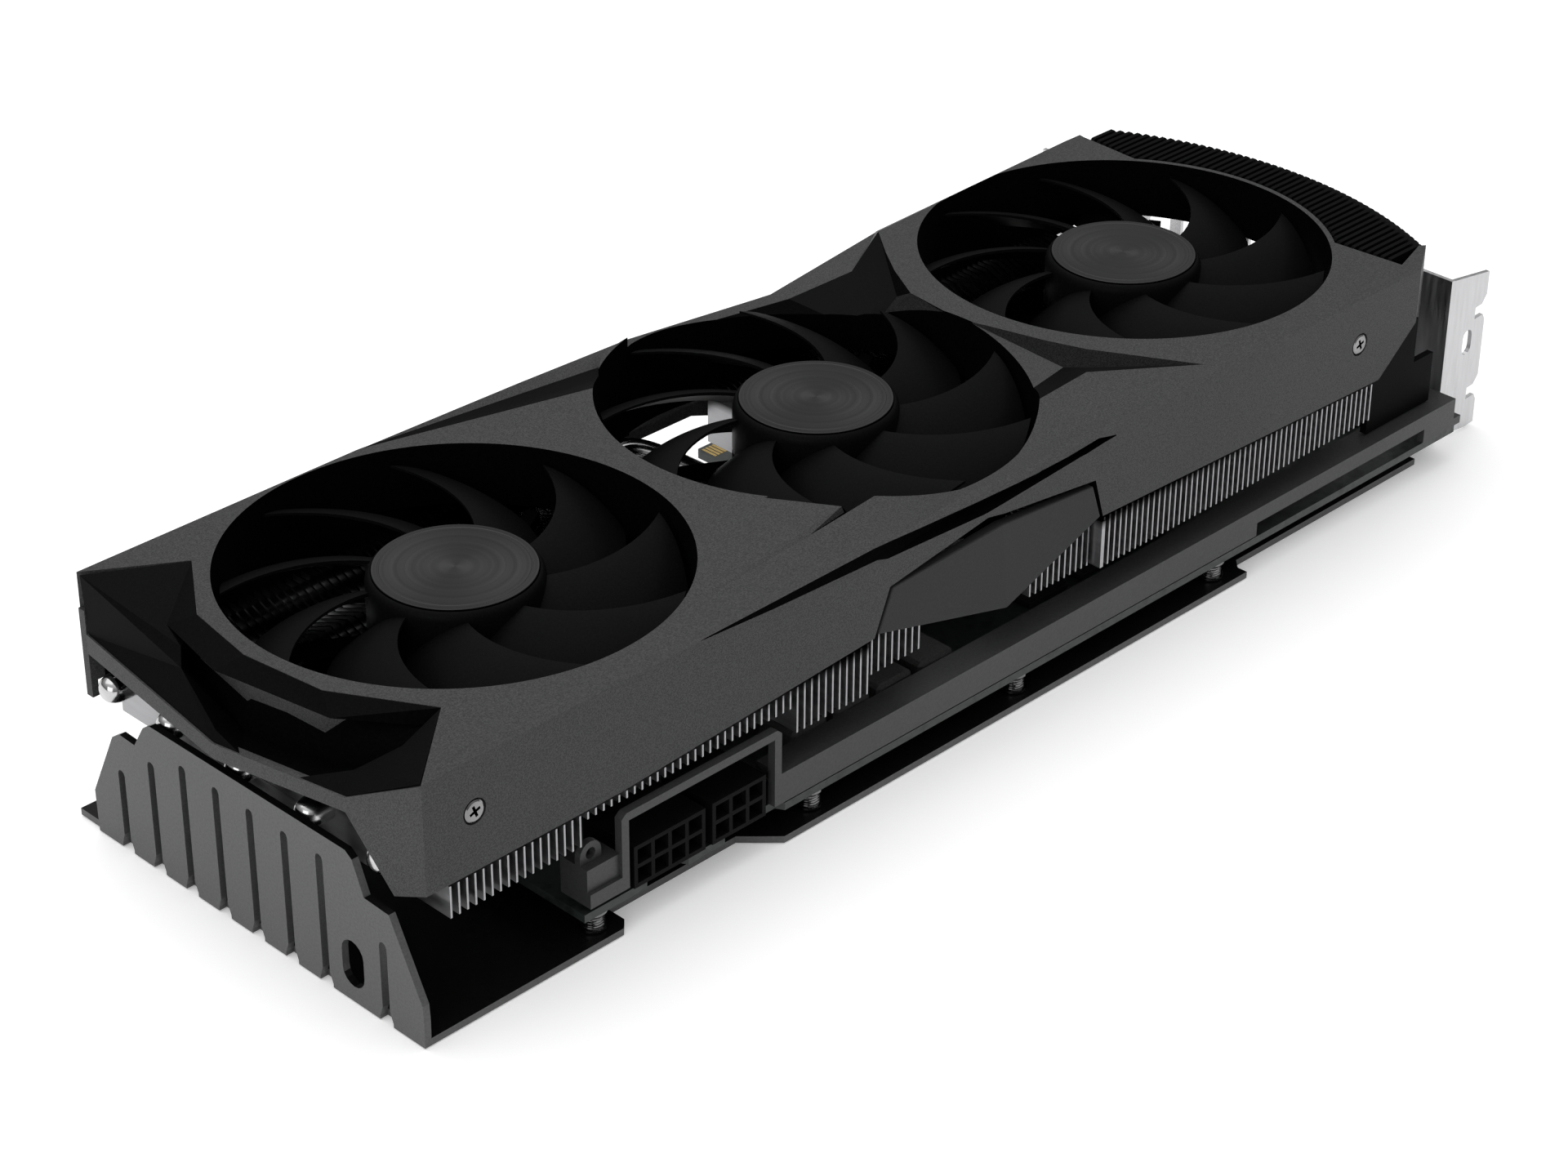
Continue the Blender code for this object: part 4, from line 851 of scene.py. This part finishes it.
def blade_point(out, back, side):
    """A point on a blade: out runs 0 at the hub to 1 at the tip, back 0 at the leading edge to 1."""
    radius = HUB_RADIUS - 0.8 + out * (BLADE_RADIUS - HUB_RADIUS + 0.8)
    lead = BLADE_SWEEP * out ** 1.15
    chord = 40.0 - 15.0 * out
    angle = math.radians(lead - chord * back)
    lead_z = 49.4 + 1.2 * out
    trail_z = 41.2 + 0.6 * out
    middle = lead_z + (trail_z - lead_z) * (0.35 * back + 0.65 * back ** 1.6)
    thick = (1.5 - 0.6 * out) * (0.3 + 0.7 * math.sin(math.pi * (0.1 + 0.8 * back)))
    return radius, angle, middle + side * thick / 2


def add_blade(bm, turn):
    out_steps, back_steps = 12, 10
    skins = []
    for side in (1, -1):
        grid = []
        for i in range(out_steps + 1):
            row = []
            for j in range(back_steps + 1):
                radius, angle, z = blade_point(i / out_steps, j / back_steps, side)
                angle += turn
                row.append(bm.verts.new((radius * math.cos(angle), radius * math.sin(angle), z)))
            grid.append(row)
        skins.append(grid)
    upper, lower = skins
    for i in range(out_steps):
        for j in range(back_steps):
            bm.faces.new((upper[i][j], upper[i + 1][j], upper[i + 1][j + 1], upper[i][j + 1]))
            bm.faces.new((lower[i][j], lower[i][j + 1], lower[i + 1][j + 1], lower[i + 1][j]))
    rim = [(i, 0) for i in range(out_steps + 1)]
    rim += [(out_steps, j) for j in range(1, back_steps + 1)]
    rim += [(i, back_steps) for i in range(out_steps - 1, -1, -1)]
    rim += [(0, j) for j in range(back_steps - 1, 0, -1)]
    for k, (i, j) in enumerate(rim):
        m, n = rim[(k + 1) % len(rim)]
        bm.faces.new((upper[i][j], lower[i][j], lower[m][n], upper[m][n]))


def make_fan(index, x, mats):
    body = f"fan_{index}"
    bm = bmesh.new()
    hub = [
        (14.6, 40.2), (16.8, 40.2), (HUB_RADIUS, 40.5), (HUB_RADIUS, 49.6), (16.85, 50.4), (16.5, 51.1),
        (16.1, 51.5), (15.9, 51.6), (15.8, 51.5), (15.8, 50.9), (1.6, 50.9), (1.6, 46.5), (3.0, 46.5),
        (3.4, 49.2), (14.6, 49.2),
    ]
    add_turned(bm, hub, (0.0, 0.0), 96)
    for number in range(BLADE_COUNT):
        add_blade(bm, 2 * math.pi * number / BLADE_COUNT + math.radians(26.0 - BLADE_SWEEP))
    rotor = new_object(f"{body}_impeller", bm, (mats["fan"],), 34.0)
    rotor.location = (x * MM, 0.0, 0.0)
    piece(rotor, body, "fan", f"{body}_rotor")

    face = [
        (0.0, 51.15), (DISC_RADIUS, 51.15), (DISC_RADIUS + 0.1, 51.3), (DISC_RADIUS + 0.1, 51.9),
        (DISC_RADIUS, DISC_TOP_Z), (14.6, DISC_TOP_Z), (14.5, DISC_TOP_Z - 0.06),
        (14.3, DISC_TOP_Z - 0.06), (14.2, DISC_TOP_Z), (0.0, DISC_TOP_Z),
    ]
    disc = turned(f"{body}_hub_disc", face, sides=128, mats=(mats["disc"],))
    disc.location = (x * MM, 0.0, 0.0)
    piece(disc, body, "disc", f"{body}_disc")


# ---------------- heatsink


def fin_outline(near_y, notch_z, low):
    """A fin seen along X, as (y, z). Its top is pleated; one that reaches the near side is notched there."""
    points = [(near_y, low), (FIN_FAR_Y, low), (FIN_FAR_Y, FIN_TOP_Z)]
    pleats = 5
    start, end = FIN_FAR_Y - 4.0, -46.0
    for k in range(2 * pleats + 1):
        y = start + (end - start) * k / (2 * pleats)
        points.append((y, FIN_TOP_Z if k % 2 == 0 else FIN_TOP_Z - 3.4))
    points.append((FIN_SET_BACK_Y, FIN_TOP_Z))
    if near_y < FIN_SET_BACK_Y:
        points += [(FIN_SET_BACK_Y, notch_z), (near_y, notch_z)]
    return points


def skirt_height(x):
    """Height of the near skirt's lower edge at x."""
    stops = [(-150.0, SKIRT_Z), *NEAR_SKIRT]
    for (x0, z0), (x1, z1) in zip(stops, stops[1:]):
        if x <= x1:
            return z0 + (z1 - z0) * (x - x0) / (x1 - x0)
    return stops[-1][1]


def add_fins(bm, start, end, pitch, set_back, foot):
    """A row of fins along X. set_back and foot say, at an x, if a fin stands back and where it ends."""
    x = start
    while x < end:
        near_y = FIN_SET_BACK_Y if set_back(x) else FIN_NEAR_Y
        notch_z = min(skirt_height(x) - 0.3, FIN_NOTCH_Z)
        add_prism(bm, fin_outline(near_y, notch_z, foot(x)), x, x + FIN_THICK, "x")
        x += pitch


def tail_fin_foot(x):
    """The tail stack is stepped up over the power sockets, and a little next to the gap."""
    if -113.0 < x < -60.6:
        return 28.6
    if x < -100:
        return 23.4
    return 24.2 if x > -40.0 else 22.6


def make_tail_fins(mats):
    """The fin stack under the first two fans; its end next to the gap is set back."""
    bm = bmesh.new()
    add_fins(bm, -144.9, -22.0, 1.9, lambda x: x > -39.0, tail_fin_foot)
    add_box(bm, (-145.0, -22.0), (-20.0, 20.0), (27.6, 28.0))
    obj = new_object("tail_fins", bm, (mats["fins"],))
    return piece(obj, "card", "fins", "fin_stack_tail")


def make_bracket_fins(mats):
    """The fin stack over the processor; its end next to the gap is set back."""
    bm = bmesh.new()
    add_fins(bm, 9.4, 119.6, 1.75, lambda x: x < 28.0, lambda x: 22.2)
    add_prism(bm, rectangle(-53.2, -50.0, 22.2, 33.0), 28.1, 29.1, "x")
    add_box(bm, (22.0, 72.0), (-24.0, 24.0), (22.2, 22.6))
    obj = new_object("bracket_fins", bm, (mats["fins"],))
    return piece(obj, "card", "fins", "fin_stack_bracket")


def smooth_step(t):
    t = min(1.0, max(0.0, t))
    return t * t * (3 - 2 * t)


def make_heat_pipe(index, mats):
    """A round pipe along the same route as its CAD bar, closed by a swaged, rounded tip."""
    low, high = node_box(f"heat_pipe_{index}")
    tail_y = low.y + PIPE_RADIUS if index <= 2 else high.y - PIPE_RADIUS
    base_y = (-15.0, -7.5, 0.0, 7.5, 15.0)[index - 1]
    if index == 3:
        tail_y = (low.y + high.y) / 2
    base_z, tail_z = low.z + PIPE_RADIUS, high.z - PIPE_RADIUS
    rise_start, rise = 8.0, 27.0
    stations = [high.x, rise_start + 6.0] + [rise_start - rise * i / 20 for i in range(21)]
    tips = [  # distance from the pipe's end, and the share of its radius there
        (6.0, 1.0), (3.4, 1.0), (2.4, 0.97), (1.5, 0.88), (0.8, 0.74), (0.3, 0.55), (0.05, 0.34), (0.0, 0.12),
    ]
    route = [(x, 1.0) for x in stations] + [(low.x + back, share) for back, share in tips]
    sides = 28
    bm = bmesh.new()
    rings = []
    for x, share in route:
        t = (rise_start - x) / rise
        ease = smooth_step(t)
        slope = 6 * t * (1 - t) / rise if 0.0 < t < 1.0 else 0.0
        along = Vector((-1.0, slope * (tail_y - base_y), slope * (tail_z - base_z))).normalized()
        side = along.cross(Vector((0, 0, 1))).normalized()
        up = side.cross(along)
        middle = Vector((x, base_y + (tail_y - base_y) * ease, base_z + (tail_z - base_z) * ease))
        ring = [bm.verts.new(middle + side * a + up * b) for a, b in circle(PIPE_RADIUS * share, sides=sides)]
        rings.append(ring)
    loft(bm, rings)
    obj = new_object(f"pipe_{index}", bm, (mats["pipe"],), 40.0)
    return piece(obj, "card", "pipe", f"heat_pipe_{index}")


# ---------------- small hardware


def make_side_screws(mats):
    """Pan-head screws with a sunk cross, each turned a little from upright."""
    profile = [
        (0.0, -49.2), (1.3, -49.2), (1.3, -52.4), (2.2, -52.4), (2.2, -52.9), (1.9, -53.1), (0.0, -53.1),
    ]
    # Painted shade: the sunk cross is near-black.
    finishes = (mats["screw"], mats["deep"])
    for name, x in zip(SIDE_SCREWS, SCREW_X):
        head = turned(f"{name}_head", profile, (x, SCREW_Z), 40, finishes, 30.0, "y")
        arms = []
        for turn in (0.0, 90.0):
            angle = math.radians(turn + 20.0)
            corners = []
            for a, b in rectangle(-1.25, 1.25, -0.3, 0.3):
                along = a * math.cos(angle) - b * math.sin(angle)
                up = a * math.sin(angle) + b * math.cos(angle)
                corners.append((x + along, SCREW_Z + up))
            arms.append(prism("arm", corners, -54.0, -52.3, "y", (mats["deep"],)))
        cut(head, *arms)
        shade(head, 30.0)
        piece(head, "card", "steel", name)


def make_spacers(mats):
    """Screw collars under the board, each with its washer and a stub of thread."""
    for index in (1, 2, 3, 4):
        low, high = node_box(f"board_spacer_{index}")
        center = ((low.x + high.x) / 2, (low.y + high.y) / 2)
        profile = [(1.2, low.z), (2.8, low.z), (2.8, low.z + 0.5), (2.3, low.z + 0.6)]
        for turn in range(4):
            z = low.z + 0.9 + turn * 0.6
            profile += [(2.3, z), (2.05, z + 0.2), (2.3, z + 0.4)]
        profile += [(2.4, high.z - 0.7), (2.8, high.z - 0.6), (2.8, high.z), (1.2, high.z)]
        obj = turned(f"collar_{index}", profile, center, 36, (mats["screw"],), 40.0)
        piece(obj, "card", "steel", f"board_spacer_{index}")


def make_backplate_screws(mats):
    """Countersunk screw heads in the backplate's outer face."""
    places = [
        (-108.8, -49.6), (-52.4, -49.6), (6.8, -49.6), (70.0, -49.6), (-108.8, 42.0), (-30.0, 42.0),
        (70.0, 42.0), (136.0, -44.0), (136.0, 40.0), (20.0, -26.0), (72.0, -26.0), (20.0, 26.0), (72.0, 26.0),
    ]
    bm = bmesh.new()
    for center in places:
        add_turned(bm, [(0.0, 0.02), (2.4, 0.02), (2.6, 0.3), (2.6, 1.2), (0.0, 1.2)], center, 24)
    obj = new_object("backplate_screws", bm, (mats["screw"],), 30.0)
    return piece(obj, "card", "steel")


# ---------------- board details


def make_board_parts(mats):
    """Small surface parts on the board, in the strips that show beside the heatsink."""
    chance = random.Random(7)
    groups = {"small_capacitors": ("ceramic", []), "small_chips": ("chip", []), "solder_ends": ("tin", [])}
    z = BOARD_TOP_Z
    bands = (  # lowest and highest y, start and end along x, pitch
        (-46.0, -41.0, -60.0, 130.0, 3.4), (43.0, 47.0, -110.0, 130.0, 3.4),
        (-36.0, 30.0, 112.0, 132.0, 4.2), (-30.0, 30.0, -112.0, -66.0, 4.6),
    )
    for band_low, band_high, x0, x1, pitch in bands:
        x = x0
        while x < x1:
            y = band_low + 1.0
            while y < band_high - 1.0:
                kind = chance.random()
                if kind < 0.45:
                    groups["small_capacitors"][1].append((x, x + 1.0, y, y + 1.2, z, z + 0.8))
                    groups["solder_ends"][1].append((x, x + 1.0, y - 0.35, y - 0.02, z, z + 0.75))
                    groups["solder_ends"][1].append((x, x + 1.0, y + 1.22, y + 1.55, z, z + 0.75))
                elif kind < 0.6:
                    groups["small_chips"][1].append((x, x + 2.2, y, y + 1.8, z, z + 0.9))
                y += pitch
            x += pitch
    for name, (mat, boxes) in groups.items():
        bm = bmesh.new()
        for x0, x1, y0, y1, z0, z1 in boxes:
            add_box(bm, (x0, x1), (y0, y1), (z0, z1))
        piece(new_object(name, bm, (mats[mat],)), "card", "chip")


def make_capacitors(mats):
    """Round capacitors beside the chokes and between the heatsink and the bracket."""
    places = ((-20.0, -48.0), (-13.0, -48.0), (124.0, -34.0), (124.0, -24.0), (124.0, 8.0))
    z = BOARD_TOP_Z + 0.1
    profile = [
        (0.0, z), (3.1, z), (3.1, z + 4.6), (2.8, z + 4.9), (2.6, z + 4.8), (2.45, z + 4.9), (0.0, z + 4.95),
    ]
    for index, (x, y) in enumerate(places):
        can = turned(f"capacitor_{index + 1}", profile, (x, y), 36, (mats["base"],), 30.0)
        piece(can, "card", "steel")


def make_edge_contacts(mats):
    """Gold contacts on both faces of the edge connector."""
    low, high = node_box("circuit_board")
    tip = high.y
    key = 96.55  # x of the notch between the two rows
    bm = bmesh.new()
    for x, x1 in ((key - 72.6, key - 2.9), (key + 0.9, key + 10.8)):
        while x < x1:
            for z0 in (low.z - 0.05, high.z - 0.01):
                add_box(bm, (x, x + 0.7), (tip - 5.2, tip - 0.9), (z0, z0 + 0.06))
            x += 1.0
    return piece(new_object("edge_contacts", bm, (mats["gold"],)), "card", "board")


def make_socket_pins(mats):
    """Terminals inside the power sockets and tongues inside the video sockets."""
    bm = bmesh.new()
    for node, columns in (("power_socket_8", 4), ("power_socket_6", 3)):
        low, high = node_box(node)
        pitch_x = (high.x - low.x - 0.9) / columns
        pitch_z = (high.z - low.z - 0.9) / 2
        for column in range(columns):
            for row in range(2):
                x = low.x + 0.45 + (column + 0.5) * pitch_x
                z = low.z + 0.45 + (row + 0.5) * pitch_z
                add_box(bm, (x - 0.5, x + 0.5), (-50.0, -43.8), (z - 0.5, z + 0.5))
    piece(new_object("power_pins", bm, (mats["gold"],)), "card", "steel")
    bm = bmesh.new()
    for index in (1, 2, 3, 4):
        low, high = node_box(f"video_socket_{index}")
        add_box(bm, (141.0, high.x - 1.0), (low.y + 2.6, high.y - 2.6), (11.4, 12.4))
    piece(new_object("video_tongues", bm, (mats["socket"],)), "card", "black")


# ---------------- CAD nodes that stay


def cover_inner_side(backplate, film):
    """Gives the backplate's inner faces, and the edges that face them, their black film."""
    backplate.data.materials.append(film)
    outer_x = node_box("backplate")[0].x * MM
    for polygon in backplate.data.polygons:
        inner = polygon.normal.z > 0.5 or polygon.normal.x > 0.9
        if inner and polygon.center.x > outer_x + 0.0003:
            polygon.material_index = 1


def finish_cad_nodes(mats):
    """Softens and paints the CAD pieces whose shape is already right."""
    finishes = {
        "base_block": ("base", 0.3), "circuit_board": ("board", 0.08), "gpu_package": ("package", 0.1),
        "power_socket_8": ("socket", 0.15), "power_socket_6": ("socket", 0.15), "side_rail": ("rail", 0.3),
        "slot_bracket": ("steel", 0.22), "bracket_stay": ("black", 0.3), "backplate": ("plate", 0.3),
    }
    for index in (1, 2, 3):
        finishes[f"fan_{index}_motor"] = ("deep", 0.3)
        finishes[f"fan_{index}_shaft"] = ("screw", 0.1)
    for index in range(1, 9):
        finishes[f"memory_chip_{index}"] = ("chip", 0.12)
    for index in range(1, 5):
        finishes[f"choke_{index}"] = ("choke", 0.25)
        finishes[f"video_socket_{index}"] = ("steel", 0.15)
    for node, (mat, width) in finishes.items():
        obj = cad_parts[node]
        obj.data.materials.clear()
        obj.data.materials.append(mats[mat])
        soften(obj, width, 2, 30.0)
    cover_inner_side(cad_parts["backplate"], mats["film"])


# ---------------- stage, lights and camera

CAMERA_PLACE = (-473.4, -454.7, 397.9)
CAMERA_AZIMUTH = -45.616
CAMERA_ELEVATION = 30.790
CAMERA_ROLL = 0.454
CAMERA_LENS = 84.14


def make_camera():
    azimuth, elevation, roll = (math.radians(a) for a in (CAMERA_AZIMUTH, CAMERA_ELEVATION, CAMERA_ROLL))
    level = math.cos(elevation)
    back = Vector((math.sin(azimuth) * level, -math.cos(azimuth) * level, math.sin(elevation)))
    right = Vector((0, 0, 1)).cross(back).normalized()
    up = back.cross(right)
    side = right * math.cos(roll) + up * math.sin(roll)
    over = back.cross(side)
    turn = Matrix((side, over, back)).transposed().to_4x4()
    data = bpy.data.cameras.new("camera")
    data.lens = CAMERA_LENS
    data.sensor_width = 36.0
    data.sensor_fit = "HORIZONTAL"
    data.clip_end = 20.0
    camera = bpy.data.objects.new("camera", data)
    camera.matrix_world = Matrix.Translation(Vector(CAMERA_PLACE) * MM) @ turn
    bpy.context.collection.objects.link(camera)
    bpy.context.scene.camera = camera


def make_floor():
    bm = bmesh.new()
    bmesh.ops.create_grid(bm, x_segments=1, y_segments=1, size=4000.0)
    for vert in bm.verts:
        vert.co.z = -0.3
    mat, _, _, shader = base_material("pale_floor", (0.95, 0.95, 0.95), 0.95)
    shader.inputs["Emission Color"].default_value = (1.0, 1.0, 1.0, 1.0)
    shader.inputs["Emission Strength"].default_value = 0.22
    floor = new_object("floor", bm, (mat,))


def area_light(name, place, target, size, power):
    data = bpy.data.lights.new(name, "AREA")
    data.shape = "RECTANGLE"
    data.size = size[0] * MM
    data.size_y = size[1] * MM
    data.energy = power
    light = bpy.data.objects.new(name, data)
    light.location = Vector(place) * MM
    away = (Vector(place) - Vector(target)).normalized()
    light.rotation_euler = away.to_track_quat("Z", "Y").to_euler()
    bpy.context.collection.objects.link(light)


def make_lights():
    """A soft sky that is bright overhead and dim at the horizon, and two weak fill lights."""
    world = bpy.data.worlds.new("studio")
    world.use_nodes = True
    nodes, links = world.node_tree.nodes, world.node_tree.links
    direction = nodes.new("ShaderNodeTexCoord")
    split = nodes.new("ShaderNodeSeparateXYZ")
    links.new(direction.outputs["Generated"], split.inputs["Vector"])
    tone = ramp(nodes, links, split.outputs["Z"], [(0.0, 0.1), (0.35, 0.3), (1.0, 1.0)])
    links.new(tone, nodes["Background"].inputs["Color"])
    nodes["Background"].inputs["Strength"].default_value = 1.15
    bpy.context.scene.world = world
    area_light("front_left", (-1500.0, -500.0, 500.0), (-60.0, 0.0, 20.0), (1200.0, 900.0), 6.0)
    area_light("overhead", (-100.0, 500.0, 1600.0), (0.0, 0.0, 0.0), (2600.0, 2000.0), 13.0)


def main():
    mats = make_materials()
    make_camera()
    make_floor()
    make_lights()
    make_shroud(mats)
    make_tail_insert(mats)
    make_end_cap(mats)
    make_badge(mats)
    for index, x in enumerate(FAN_X):
        make_fan(index + 1, x, mats)
    make_tail_fins(mats)
    make_bracket_fins(mats)
    for index in range(1, 6):
        make_heat_pipe(index, mats)
    make_side_screws(mats)
    make_spacers(mats)
    make_backplate_screws(mats)
    make_board_parts(mats)
    make_capacitors(mats)
    make_edge_contacts(mats)
    make_socket_pins(mats)
    finish_cad_nodes(mats)
    bpy.context.scene.view_settings.view_transform = "Standard"


main()
